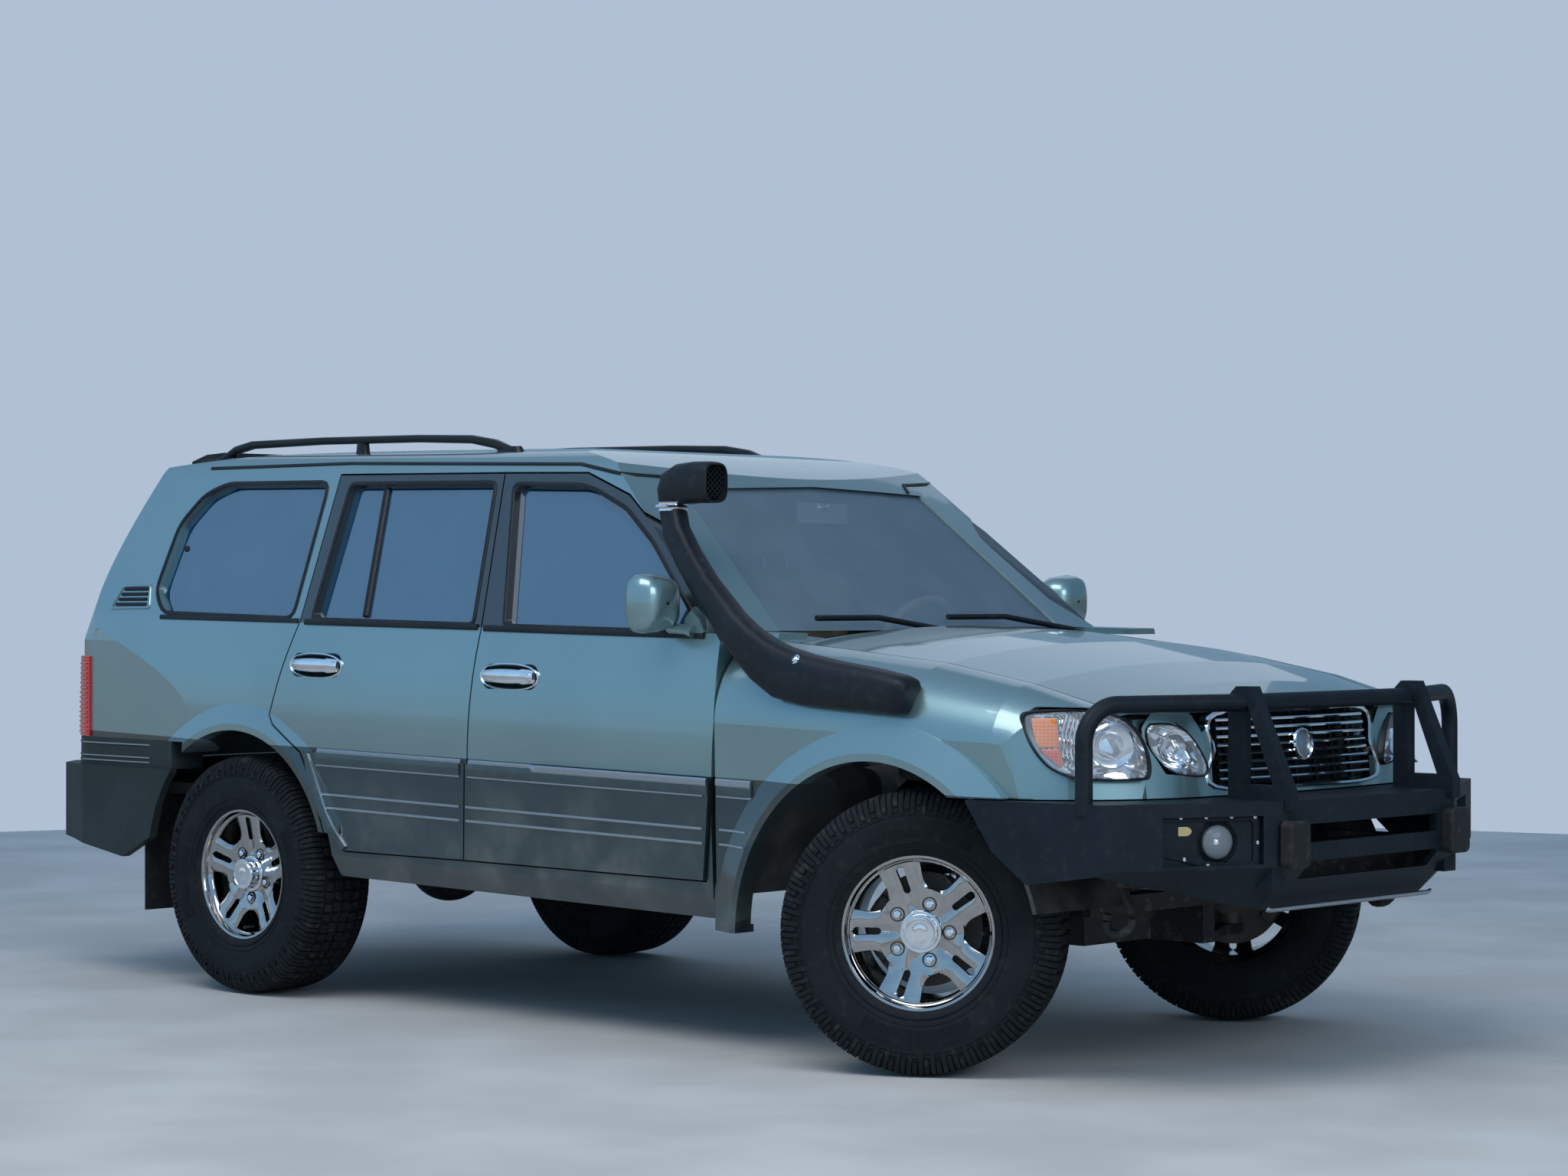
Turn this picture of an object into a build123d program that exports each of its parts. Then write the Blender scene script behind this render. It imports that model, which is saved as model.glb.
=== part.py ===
from build123d import *
import os
from math import cos, radians, sin

# A lifted off-road wagon with four side doors, a split tailgate, a steel front bumper with a
# tubular guard, and a raised air intake up the right windscreen pillar.
# X points forward, Y left and Z up. Everything is drawn about the point halfway between the
# axles, and is moved by middle_x when written, so that the origin is under the overall middle.
# Outlines of the side are (x, z) and belong to the right side, where y is negative.

# Overall
wheelbase = 2850
track = 1620
front_reach = 2462        # axle midpoint to the foremost face of the guard's buffers
rear_reach = 2600         # axle midpoint to the back of the rear bumper
middle_x = (rear_reach - front_reach) / 2
front_axle_x = wheelbase / 2
rear_axle_x = -wheelbase / 2
rake, rake_height = 1.0, 1000  # degrees that the body sits nose down, and the height it turns about

# Wheels and steering
tyre_radius = 397
tyre_half_width = 132
tread_half_width = 116
bead_radius = 204
rim_flange_radius = 220
rim_half_width = 112
barrel_wall = 12
hub_z = tyre_radius
wheel_y = track / 2
hub_face = 56             # wheel's middle plane out to the face that the wheel bolts on
kingpin_inset = 95        # kingpin in from the wheel's middle plane
steer_angle = 30          # both front wheels are turned left as they stand
disc_radius = 160
running_gap = 0.3

# Body
sill_z = 400
belt_z = 1225
door_top_z = 1712
roof_z = 1806
widest = 932              # half width below the belt
belt_half = 893
roof_half = 728           # half width at the top of the windows
door_wall = 80            # thickness of a whole door or side wall
jamb_wall = 122           # side wall with its door frame
roof_wall = 45
gap = 6                   # shut lines
glass_wall = 5
floor_z, floor_wall = 640, 40
bulkhead_foot_z = floor_z
rail_in, rail_out, rail_low, rail_front_x = 395, 455, 530, 2300   # side members of the frame
panel_wall = 28           # front wings and bonnet with their inner frames

# Wheel arches: middle, height of the middle and radius
front_arch = (1402, 358, 512)
rear_arch = (-1430, 400, 478)
arch_lip = 26             # how far the arch's lip stands out of the side

# Windscreen
screen_base_x, screen_base_z = 868, 1238
screen_top_x, screen_top_z = 280, 1695
screen_bow = 95
screen_half_base, screen_half_top = 735, 612

# Tail, in plan, and how its upper half leans
tail_x, tail_corner_x, tail_corner_y = -2470, -2440, 745
tail_side_x, tail_side_y = -2270, 905
tail_break_z = 1130
hatch_lean = (330, 610)

outer_y, inner_y = -1010, -540
plate_pitch, plate_z, plate_hole_radius = 150, 900, 3.25   # screw holes of the number plate
strip_top_z, strip_foot_z = 830, 735   # band of the rear bumper that lies against the body


def write(name, part):
    """Write one piece, moved so that the origin lies under the middle of the vehicle."""
    os.makedirs("parts", exist_ok=True)
    moved = part.moved(Location((middle_x, 0, 0)))
    moved.label = name
    export_step(moved, f"parts/{name}.step")


def side_prism(points, y_in=inner_y, y_out=outer_y, rounding=0):
    """A block with an (x, z) outline that reaches from y_in out to y_out on the right side."""
    with BuildPart() as prism:
        with BuildSketch(Plane.XZ.offset(-y_in)):
            with BuildLine():
                Polyline(*points, close=True)
            make_face()
            if rounding:
                offset(amount=-rounding, mode=Mode.REPLACE)
                offset(amount=rounding, kind=Kind.ARC, mode=Mode.REPLACE)
        extrude(amount=y_in - y_out)
    return prism.part


def cross_prism(points, x_low, x_high, rounding=0):
    """A block with a (y, z) outline between two places along the vehicle."""
    with BuildPart() as prism:
        with BuildSketch(Plane.YZ.offset(x_low)):
            with BuildLine():
                Polyline(*points, close=True)
            make_face()
            if rounding:
                offset(amount=-rounding, mode=Mode.REPLACE)
                offset(amount=rounding, kind=Kind.ARC, mode=Mode.REPLACE)
        extrude(amount=x_high - x_low)
    return prism.part


def plan_prism(points, z_low, z_high):
    """A block with an (x, y) outline between two heights."""
    with BuildPart() as prism:
        with BuildSketch(Plane.XY.offset(z_low)):
            with BuildLine():
                Polyline(*points, close=True)
            make_face()
        extrude(amount=z_high - z_low)
    return prism.part


def block(x_low, x_high, y_low, y_high, z_low, z_high):
    """A plain box between two corners."""
    return plan_prism([(x_low, y_low), (x_high, y_low), (x_high, y_high), (x_low, y_high)], z_low, z_high)


def rod(start, end, radius):
    """A round bar between two points."""
    axis = Vector(*end) - Vector(*start)
    with BuildPart() as bar:
        with BuildSketch(Plane(origin=start, z_dir=axis)):
            Circle(radius)
        extrude(amount=axis.length)
    return bar.part


def left_of(part):
    """The mirror image of a right-hand part."""
    with BuildPart() as other:
        mirror(part, about=Plane.XZ)
    return other.part


def both_sides(part):
    """A right-hand part and its mirror image."""
    with BuildPart() as pair:
        add(part)
        add(left_of(part))
    return pair.part


sides = (("right", lambda part: part), ("left", left_of))

# Cabin form: side section, roof line, tail and windscreen, on the right half

with BuildSketch(Plane.XY) as behind_tail:
    with BuildLine():
        ThreePointArc((tail_x, 0), (tail_x + 10, -380), (tail_corner_x, -tail_corner_y))
        ThreePointArc((tail_corner_x, -tail_corner_y), (-2398, -850), (tail_side_x, -tail_side_y))
        ThreePointArc((tail_side_x, -tail_side_y), (-1850, -928), (-1400, -945))
        Polyline((-1400, -945), (-1400, -1500), (-3400, -1500), (-3400, 0), (tail_x, 0))
    make_face()
tail_lower = extrude(behind_tail.sketch, amount=tail_break_z)
tail_upper = extrude(Pos(0, 0, tail_break_z) * behind_tail.sketch, amount=950, dir=Vector(hatch_lean[0], 0, hatch_lean[1]))

with BuildSketch(Plane.XY.offset(screen_base_z)) as screen_front:
    with BuildLine():
        ThreePointArc((screen_base_x, 0), (screen_base_x - screen_bow / 4, -screen_half_base / 2),
                      (screen_base_x - screen_bow, -screen_half_base))
        Polyline((screen_base_x - screen_bow, -screen_half_base), (screen_base_x - screen_bow - 60, -1100),
                 (2600, -1100), (2600, 0), (screen_base_x, 0))
    make_face()
screen_lean = Vector(screen_top_x - screen_base_x, 0, screen_top_z - screen_base_z)
ahead_of_screen = extrude(screen_front.sketch, amount=1100, dir=screen_lean)


def cabin_half(inset, roof_inset, screen_inset=0):
    """Right half of the cabin's form, set in from the skin by inset and by roof_inset on top."""
    with BuildPart() as half:
        with BuildSketch(Plane.YZ.offset(-2700)):
            with BuildLine():
                Polyline((0, sill_z), (inset - 885, sill_z), (inset - 918, sill_z + 70), (inset - widest, 800))
                ThreePointArc((inset - widest, 800), (inset - 930, 1000), (inset - belt_half, belt_z))
                Line((inset - belt_half, belt_z), (inset - roof_half, 1700))
                ThreePointArc((inset - roof_half, 1700), (inset - 700, 1745), (inset - 630, 1778 - roof_inset))
                ThreePointArc((inset - 630, 1778 - roof_inset), (-330, 1799 - roof_inset), (0, roof_z - roof_inset))
                Line((0, roof_z - roof_inset), (0, sill_z))
            make_face()
        extrude(amount=3700)
        with BuildSketch(Plane.XZ):
            with BuildLine():
                Polyline((1000, sill_z), (1000, 1500), (330, 1683 - roof_inset))
                ThreePointArc((330, 1683 - roof_inset), (30, 1762 - roof_inset), (-400, 1795 - roof_inset))
                ThreePointArc((-400, 1795 - roof_inset), (-1250, 1797 - roof_inset), (-2130, 1735 - roof_inset))
                Polyline((-2130, 1735 - roof_inset), (-2700, 1660 - roof_inset), (-2700, sill_z), (1000, sill_z))
            make_face()
        extrude(amount=1000, mode=Mode.INTERSECT)
        add(tail_lower.moved(Location((inset, 0, 0))), mode=Mode.SUBTRACT)
        add(tail_upper.moved(Location((inset, 0, 0))), mode=Mode.SUBTRACT)
        add(ahead_of_screen.moved(Location((-screen_inset, 0, 0))), mode=Mode.SUBTRACT)
    return half.part.rotate(Axis((0, 0, rake_height), (0, 1, 0)), rake)


skin = cabin_half(0, 0)
screen_frame = 50          # depth of the frame behind the windscreen's face
ahead = -300               # carries a lining on past the windscreen
door_lining = cabin_half(door_wall, roof_wall, ahead)
jamb_face = cabin_half(door_wall + gap, roof_wall, ahead)
inside = cabin_half(jamb_wall, roof_wall, screen_frame)
walls = skin - cabin_half(door_wall, roof_wall, screen_frame)

# Side outlines: shut lines of the doors, as the panels meet

door_split_z = belt_z      # the B pillar's shut line bends here, where a door's panel ends
b_line = [(-303, 505), (-262, door_split_z), (-336, door_top_z)]
front_frame_line = [(40, 1704), (246, 1632), (445, 1493), (640, 1325)]
front_door_line = [(772, 1196), (779, 960), (770, 790), (735, 500)]
rear_door_rear = [(-1140, 1724), (-1147, 1245), (-1208, 1081), (-1257, 935), (-1231, 904), (-1088, 818),
                  (-1015, 715), (-950, 556), (-894, 504)]
front_door_outline = b_line + front_frame_line + front_door_line
rear_door_outline = [(x - gap, z) for x, z in b_line] + rear_door_rear
front_window = [(-159, 1238), (-277, 1676), (20, 1668), (93, 1652), (250, 1590), (400, 1485), (620, 1285), (690, 1224)]
rear_window = [(-312, 1240), (-375, 1682), (-1074, 1692), (-1088, 1252)]
quarter_window = [(-1200, 1255), (-1200, 1700), (-1732, 1706), (-1842, 1670), (-1935, 1570), (-1965, 1345), (-1893, 1270)]
door_cladding_top = [(900, 786), (-1300, 822)]
handle_middle = {"front_door": (-103, 1078), "rear_door": (-1035, 1100)}
handle_length, handle_height = 255, 78
cladding_proud = 12


def grown(points, amount, y_in=inner_y):
    """A side outline pushed outwards all round, from y_in outwards."""
    with BuildPart() as prism:
        with BuildSketch(Plane.XZ.offset(-y_in)):
            with BuildLine():
                Polyline(*points, close=True)
            make_face()
            offset(amount=amount, kind=Kind.INTERSECTION, mode=Mode.REPLACE)
        extrude(amount=y_in - outer_y)
    return prism.part


def arch_cut(arch, radius_more=0):
    """A cylinder that opens a wheel arch in the right side."""
    with BuildPart() as cut:
        with BuildSketch(Plane.XZ.offset(520)):
            with Locations((arch[0], arch[1])):
                Circle(arch[2] + radius_more)
        extrude(amount=600)
    return cut.part


def flare(arch, spread=110):
    """The soft blister round a wheel arch, turned about the middle of the arch."""
    middle_x_here, middle_z, radius = arch
    with BuildPart() as lip:
        with BuildSketch(Plane.XY.offset(middle_z)):
            with BuildLine():
                Polyline((middle_x_here + radius, -880), (middle_x_here + radius, -widest - arch_lip),
                         (middle_x_here + radius + 22, -widest - arch_lip),
                         (middle_x_here + radius + spread, 6 - widest),
                         (middle_x_here + radius + spread, -880), close=True)
            make_face()
        revolve(axis=Axis((middle_x_here, 0, middle_z), (0, 1, 0)), revolution_arc=-180)
    return lip.part


front_arch_cut = arch_cut(front_arch)
rear_arch_cut = arch_cut(rear_arch)
front_flare = flare(front_arch)
rear_flare = flare(rear_arch) & side_prism([(-900, 560), (-2300, 560), (-2300, 1100), (-900, 1100)], -500, -1100)
cladding_zone = side_prism(door_cladding_top + [(-1300, 430), (900, 430)])
side_cladding = (skin.moved(Location((0, -cladding_proud, 0))) - skin) & cladding_zone

# Doors: each a thick panel with the recess of its handle, and the window frame that stands on it

glass_layer = cabin_half(25, 25, 25) - cabin_half(25 + glass_wall, 25 + glass_wall, 25 + glass_wall)

door_panel_zone = block(-2000, 1000, outer_y, -500, 300, door_split_z)
door_table = (("front_door", front_door_outline, front_window), ("rear_door", rear_door_outline, rear_window))
for door_name, outline, window in door_table:
    with BuildPart() as door:
        add(skin)
        add(side_cladding)
        add(rear_flare)
        add(side_prism(outline), mode=Mode.INTERSECT)
        add(door_lining, mode=Mode.SUBTRACT)
        add(side_prism(window, rounding=22), mode=Mode.SUBTRACT)
        with BuildSketch(Plane.XZ.offset(widest - 30)):
            with Locations(handle_middle[door_name]):
                SlotOverall(handle_length, handle_height)
        extrude(amount=100, mode=Mode.SUBTRACT)
        with BuildSketch(Plane.XZ.offset(widest - 32)):
            with Locations(handle_middle[door_name]):
                SlotOverall(handle_length - 40, 34)
        extrude(amount=34)
    with BuildPart() as door_glass:
        add(glass_layer)
        add(side_prism(window, rounding=22), mode=Mode.INTERSECT)
    halves = (door.part & door_panel_zone, door.part - door_panel_zone)
    for side, turn in sides:
        write(f"{door_name}_{side}", Compound([turn(half).solid() for half in halves]))
        write(f"{door_name}_glass_{side}", turn(door_glass.part))

# Tail openings, as (y, z) from behind

hatch_top_z = 1752
hatch_outline = [(0, 1112), (-716, 1112), (-722, 1200), (-622, 1722), (-560, hatch_top_z - 7), (-480, hatch_top_z), (0, hatch_top_z)]
hatch_window = [(-640, 1200), (-555, 1660), (555, 1660), (640, 1200)]
tailgate_outline = [(0, 742), (-696, 742), (-715, 1106), (0, 1106)]
tail_opening = [(0, 736), (-706, 736), (-722, 1112), (-728, 1200), (-628, 1728), (-560, 1752), (-480, hatch_top_z + gap + 1), (0, hatch_top_z + gap + 1)]
tail_zone_x = (-2700, -2000)
tail_depth = [(-2700, 700), (-2340, 700), (-2340, 1130), (-2052, 1662), (-2052, 1800), (-2700, 1800)]
screen_opening = [(0, 1180), (-674, 1180), (-656, 1262), (-561, 1656), (0, 1673)]

tail_hole = cross_prism(tail_opening, *tail_zone_x) & grown(tail_depth, gap, 100)

# Hinge leaves, which stand off the pillars and almost touch the shut doors

hinge_heights = (700, 1030)
hinge_spans = ((742, 764), (-336, -306))
hinge_face = cabin_half(door_wall + running_gap, roof_wall, ahead)
hinge_layer = hinge_face - cabin_half(door_wall + gap + 4, roof_wall, ahead)
with BuildPart() as hinge_leaves:
    for x_low, x_high in hinge_spans:
        for z in hinge_heights:
            add(block(x_low, x_high, outer_y, inner_y, z, z + 70))
    add(hinge_layer, mode=Mode.INTERSECT)

# Side of the body: pillars, sill and rear quarter

side_zone = cross_prism([(-520, 380), (-520, 1500), (-600, 1690), (-600, 1900), (-1100, 1900), (-1100, 380)], -2700, 1000)
deep_walls = skin - inside
with BuildPart() as body_side:
    add(deep_walls)
    add(side_zone, mode=Mode.INTERSECT)
    for door_name, outline, window in door_table:
        add(grown(outline, gap) - jamb_face, mode=Mode.SUBTRACT)
        add(grown(outline, -32), mode=Mode.SUBTRACT)
    add(rear_flare)
    add(side_prism(quarter_window, rounding=40), mode=Mode.SUBTRACT)
    add(grown(rear_door_outline, gap) - jamb_face, mode=Mode.SUBTRACT)
    add(tail_hole, mode=Mode.SUBTRACT)
    add(cross_prism(screen_opening, 200, 1000), mode=Mode.SUBTRACT)
    add(side_prism([(765, 380), (765, 1186), (773, 1202), (1100, 1202), (1100, 380)], -400), mode=Mode.SUBTRACT)
    add(block(-2700, -1700, outer_y, -300, 380, strip_top_z), mode=Mode.SUBTRACT)
    add(front_arch_cut, mode=Mode.SUBTRACT)
    add(rear_arch_cut, mode=Mode.SUBTRACT)
    add(hinge_leaves.part)
for side, turn in sides:
    write(f"body_side_{side}", turn(body_side.part))

with BuildPart() as quarter_glass:
    add(glass_layer)
    add(side_prism(quarter_window, rounding=40), mode=Mode.INTERSECT)
write("quarter_glass", both_sides(quarter_glass.part))

# Roof

with BuildPart() as roof_half_panel:
    add(walls)
    add(side_zone, mode=Mode.SUBTRACT)
    add(block(-2700, 400, -700, 0, 1600, 1900), mode=Mode.INTERSECT)
    add(tail_hole, mode=Mode.SUBTRACT)
    add(cross_prism(screen_opening, 200, 1000), mode=Mode.SUBTRACT)
    add(block(-2110, -2080, -460, -400, hatch_top_z + running_gap, hatch_top_z + 16))
write("roof_panel", both_sides(roof_half_panel.part))

# Tailgate and hatch

with BuildPart() as hatch:
    add(both_sides(walls & cross_prism(hatch_outline, *tail_zone_x) & side_prism(tail_depth, 100)))
    add(cross_prism(hatch_window, *tail_zone_x, rounding=50), mode=Mode.SUBTRACT)
write("hatch", hatch.part)
with BuildPart() as hatch_glass:
    add(both_sides(glass_layer))
    add(cross_prism(hatch_window, *tail_zone_x, rounding=50), mode=Mode.INTERSECT)
write("hatch_glass", hatch_glass.part)
with BuildPart() as tailgate:
    add(both_sides(walls & cross_prism(tailgate_outline, *tail_zone_x) & side_prism(tail_depth, 100)))
    for y in (-plate_pitch / 2, plate_pitch / 2):
        add(rod((tail_x - 20, y, plate_z), (tail_x + 50, y, plate_z), plate_hole_radius), mode=Mode.SUBTRACT)
write("tailgate", tailgate.part)

# Windscreen

with BuildPart() as windscreen:
    add(both_sides(cabin_half(20, 20, 14) - cabin_half(20, 20, 22)))
    add(cross_prism([(-672, 1206), (-655, 1262), (-560, 1655), (0, 1672), (560, 1655), (655, 1262), (672, 1206)],
                    200, 1000), mode=Mode.INTERSECT)
    add(both_sides(body_side.part), mode=Mode.SUBTRACT)
write("windscreen", windscreen.part)


# Nose: the form of the front wings, bonnet and front panel, lofted through a few sections

nose_floor_z = 782
# station along x, half width, height of its straight side, half width and height of the bonnet's
# edge, height of the bonnet's middle
nose_sections = (
    (775, 932, 960, 775, 1202, 1250),
    (1150, 934, 950, 735, 1174, 1226),
    (1500, 930, 940, 724, 1141, 1192),
    (1800, 908, 930, 716, 1088, 1138),
    (2000, 880, 915, 700, 1034, 1084),
    (2140, 850, 890, 680, 1000, 1040),
    (2240, 820, 860, 660, 950, 985),
)
nose_front = ((2200, 0), (2194, -210), (2172, -420), (2078, -725), (1880, -896))
nose_lean = (-60, 400)        # backwards and up
bonnet_rear_x, bonnet_rear_bow = 985, 38
wing_rear_x = 776


def nose_half(inset):
    """Right half of the nose, set in from its skin."""
    with BuildPart() as half:
        for x, half_width, side_z, edge_y, edge_z, middle_z in nose_sections:
            with BuildSketch(Plane.YZ.offset(x)):
                with BuildLine():
                    Polyline((0, 380), (inset - half_width + 12, 380), (inset - half_width, side_z))
                    ThreePointArc((inset - half_width, side_z),
                                  (inset - half_width * 0.955, side_z * 0.42 + edge_z * 0.58),
                                  (inset - edge_y, edge_z - inset))
                    ThreePointArc((inset - edge_y, edge_z - inset),
                                  (-edge_y * 0.5, middle_z - (middle_z - edge_z) * 0.22 - inset),
                                  (0, middle_z - inset))
                    Line((0, middle_z - inset), (0, 380))
                make_face()
        loft(ruled=True)
        add(nose_ahead.moved(Location((-inset, 0, 0))), mode=Mode.SUBTRACT)
    return half.part


with BuildSketch(Plane.XY.offset(nose_floor_z)) as nose_plan:
    with BuildLine():
        ThreePointArc(*nose_front[:3])
        ThreePointArc(*nose_front[2:])
        Polyline(nose_front[4], (1500, -1000), (1500, -1300), (2700, -1300), (2700, 0), nose_front[0])
    make_face()
nose_ahead = extrude(nose_plan.sketch, amount=600, dir=Vector(nose_lean[0], 0, nose_lean[1]))
nose_ahead = nose_ahead + extrude(nose_plan.sketch, amount=-450)
nose = nose_half(0)
nose_lining = nose_half(panel_wall)
nose_shell = nose - nose_lining

with BuildSketch(Plane.XY.offset(700)) as bonnet_plan:
    with BuildLine():
        ThreePointArc((bonnet_rear_x, 0), (bonnet_rear_x - bonnet_rear_bow / 4, -370),
                      (bonnet_rear_x - bonnet_rear_bow, -741))
        Polyline((bonnet_rear_x - bonnet_rear_bow, -741), (1150, -735), (1500, -724), (1800, -716), (2000, -694),
                 (2090, -655), (2140, -420), (2165, 0), (bonnet_rear_x, 0))
    make_face()
bonnet_prism = extrude(bonnet_plan.sketch, amount=700)
bonnet_floor = side_prism([(900, 1120), (1800, 1030), (1960, 985), (2080, 1010), (2300, 1010), (2300, 700), (900, 700)], 0, -900)
with BuildPart() as bonnet:
    add(both_sides((nose_shell & bonnet_prism) - bonnet_floor))
write("bonnet", bonnet.part)

with BuildSketch(Plane.XY.offset(700)) as bonnet_hole_plan:
    add(bonnet_plan.sketch.moved(Location((0, 0, -700))))
    offset(amount=gap, kind=Kind.INTERSECTION, mode=Mode.REPLACE)
bonnet_hole = extrude(bonnet_hole_plan.sketch, amount=700)

# Lamps: their lenses as seen from the side and from ahead

headlamp_side = [(1879, 1030), (1893, 976), (1931, 905), (1990, 850), (2060, 834), (2300, 834), (2300, 1012), (2040, 1028)]
inner_lamp_front = [(-612, 985), (-625, 930), (-575, 846), (-440, 835), (-430, 870), (-480, 960), (-520, 985)]
grille_front = [(-402, 800), (0, 792), (0, 1014), (-385, 1010)]
lamp_depth = 110
lamp_zone = cross_prism([(-1000, 700), (-632, 700), (-632, 1100), (-1000, 1100)], 1700, 2400)
headlamp_cut = side_prism(headlamp_side, -500, -1000, 14) & lamp_zone
inner_lamp_cut = cross_prism(inner_lamp_front, 1950, 2300, 10)
grille_cut = cross_prism(grille_front, 1950, 2300)
with BuildPart() as headlamp:
    add(nose - nose_half(lamp_depth))
    add(headlamp_cut + inner_lamp_cut, mode=Mode.INTERSECT)
    add(bonnet_hole, mode=Mode.SUBTRACT)
write("headlamps", both_sides(headlamp.part))

# Front wings, and the panel that carries the lamps and grille

wing_outline = [(wing_rear_x + gap, 498), (wing_rear_x + gap, 1300), (2120, 1300), (2120, nose_floor_z),
                (1650, nose_floor_z), (1650, 380), (wing_rear_x - 30, 380)]
with BuildPart() as wing:
    add(nose_shell)
    add(side_prism(wing_outline, 0, -1100), mode=Mode.INTERSECT)
    add(bonnet_hole, mode=Mode.SUBTRACT)
    add(block(700, 2400, -640, 100, 300, 1300), mode=Mode.SUBTRACT)
    add(front_flare - nose_lining)
    add(block(1650, 2400, -1100, 0, 300, nose_floor_z), mode=Mode.SUBTRACT)
    add(front_arch_cut, mode=Mode.SUBTRACT)
    add(side_prism([(600, 300), (wing_rear_x + gap, 1300), (wing_rear_x + gap, 700), (735 + gap, 500), (735 + gap, 300)],
                   0, -1100), mode=Mode.SUBTRACT)
    add(headlamp_cut, mode=Mode.SUBTRACT)
    add(inner_lamp_cut, mode=Mode.SUBTRACT)

with BuildPart() as front_panel:
    add(nose_shell)
    add(block(2000, 2400, -640, 0, nose_floor_z, 1300), mode=Mode.INTERSECT)
    add(bonnet_hole, mode=Mode.SUBTRACT)
    add(block(2030, 2090, -640, 0, nose_floor_z, 1000) & nose_lining)
    add(block(2080, 2200, -640, 0, nose_floor_z, nose_floor_z + 12) & nose)
    add(headlamp_cut, mode=Mode.SUBTRACT)
    add(inner_lamp_cut, mode=Mode.SUBTRACT)
    add(grille_cut, mode=Mode.SUBTRACT)
    add(bonnet.part, mode=Mode.SUBTRACT)
panel_half = front_panel.part.solids().sort_by(SortBy.VOLUME)[-1]
write("front_panel", both_sides(panel_half))

slat_count, slat_height = 8, 9
slat_pitch = (1000 - 812) / slat_count
with BuildPart() as grille_half:
    add((nose - nose_half(30)) & grille_cut)
    add(cross_prism([(-384, 814), (0, 806), (0, 1002), (-368, 998)], 1950, 2300), mode=Mode.SUBTRACT)
with BuildPart() as slats:
    for index in range(slat_count):
        add(block(1950, 2300, -395, 0, 812 + slat_pitch * (index + 0.5), 812 + slat_pitch * (index + 0.5) + slat_height))
    add(block(2120, 2150, -395, 0, 800, 1006))
    add(nose_half(8) - nose_half(46), mode=Mode.INTERSECT)
    add(grille_cut, mode=Mode.INTERSECT)
with BuildPart() as grille:
    add(both_sides(grille_half.part))
    add(both_sides(slats.part))
    add(block(2100, 2160, -380, 380, 806, 1000) & both_sides(nose_half(38) - nose_half(50)))
    with BuildSketch(Plane.YZ.offset(2160)):
        with Locations((0, 932)):
            Circle(52)
    extrude(amount=48)
    add(bonnet.part, mode=Mode.SUBTRACT)
write("grille", grille.part)

# Bulkhead with the scuttle that the windscreen stands on

with BuildPart() as bulkhead_half:
    add(nose_lining)
    add(block(790, 830, -1000, 0, bulkhead_foot_z, 1300) + block(790, 940, -1000, 0, 1120, 1300), mode=Mode.INTERSECT)
    add(windscreen.part, mode=Mode.SUBTRACT)
    add(side_prism([(700, 1196), (760, 1300), (790, 1300), (790, 1196)], -600), mode=Mode.SUBTRACT)
write("bulkhead", both_sides(bulkhead_half.part))

# Front wings with the liners of their arches

liner_wall, liner_in = 12, 470
with BuildPart() as liner:
    with BuildSketch(Plane.XZ.offset(liner_in)):
        with Locations((front_arch[0], front_arch[1])):
            Circle(front_arch[2] + liner_wall + 2)
            Circle(front_arch[2] + 2, mode=Mode.SUBTRACT)
    extrude(amount=440)
    add(block(700, 2200, -1100, 0, 470, 1000), mode=Mode.INTERSECT)
    add(nose_lining, mode=Mode.INTERSECT)
    add(bulkhead_half.part, mode=Mode.SUBTRACT)
for side, turn in sides:
    write(f"front_wing_{side}", turn(wing.part + liner.part))

# Floor, with humps over the rear axle left plain

with BuildPart() as floor_pan:
    add(both_sides(inside & block(-2330, 790, -1000, 0, floor_z, floor_z + floor_wall)))
    add(rear_arch_cut, mode=Mode.SUBTRACT)
    add(left_of(rear_arch_cut), mode=Mode.SUBTRACT)
    add(front_arch_cut, mode=Mode.SUBTRACT)
    add(left_of(front_arch_cut), mode=Mode.SUBTRACT)
write("floor_pan", floor_pan.part)


# Rear bumper: a band against the body, and a deep step below it

rear_bumper_plan = [(-rear_reach, 0), (8 - rear_reach, -560), (-2545, -790), (-2465, -885), (-2300, -932),
                    (-1800, -948)]
rear_bumper_foot = [(-1780, 740), (-1795, 640), (-1850, 520), (-2060, 424), (-2380, 470), (-2700, 500), (-2700, 740)]
bumper_wall = 30


def inset_plan(points, amount, x_end):
    """A bumper's plan, set in from its outer face, closed through the middle of the vehicle."""
    with BuildSketch(Plane.XY) as plan:
        with BuildLine():
            Polyline(*points, (x_end, points[-1][1]), (x_end, 0), close=True)
        make_face()
        if amount:
            offset(amount=-amount, kind=Kind.INTERSECTION, mode=Mode.REPLACE)
    return plan.sketch


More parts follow.
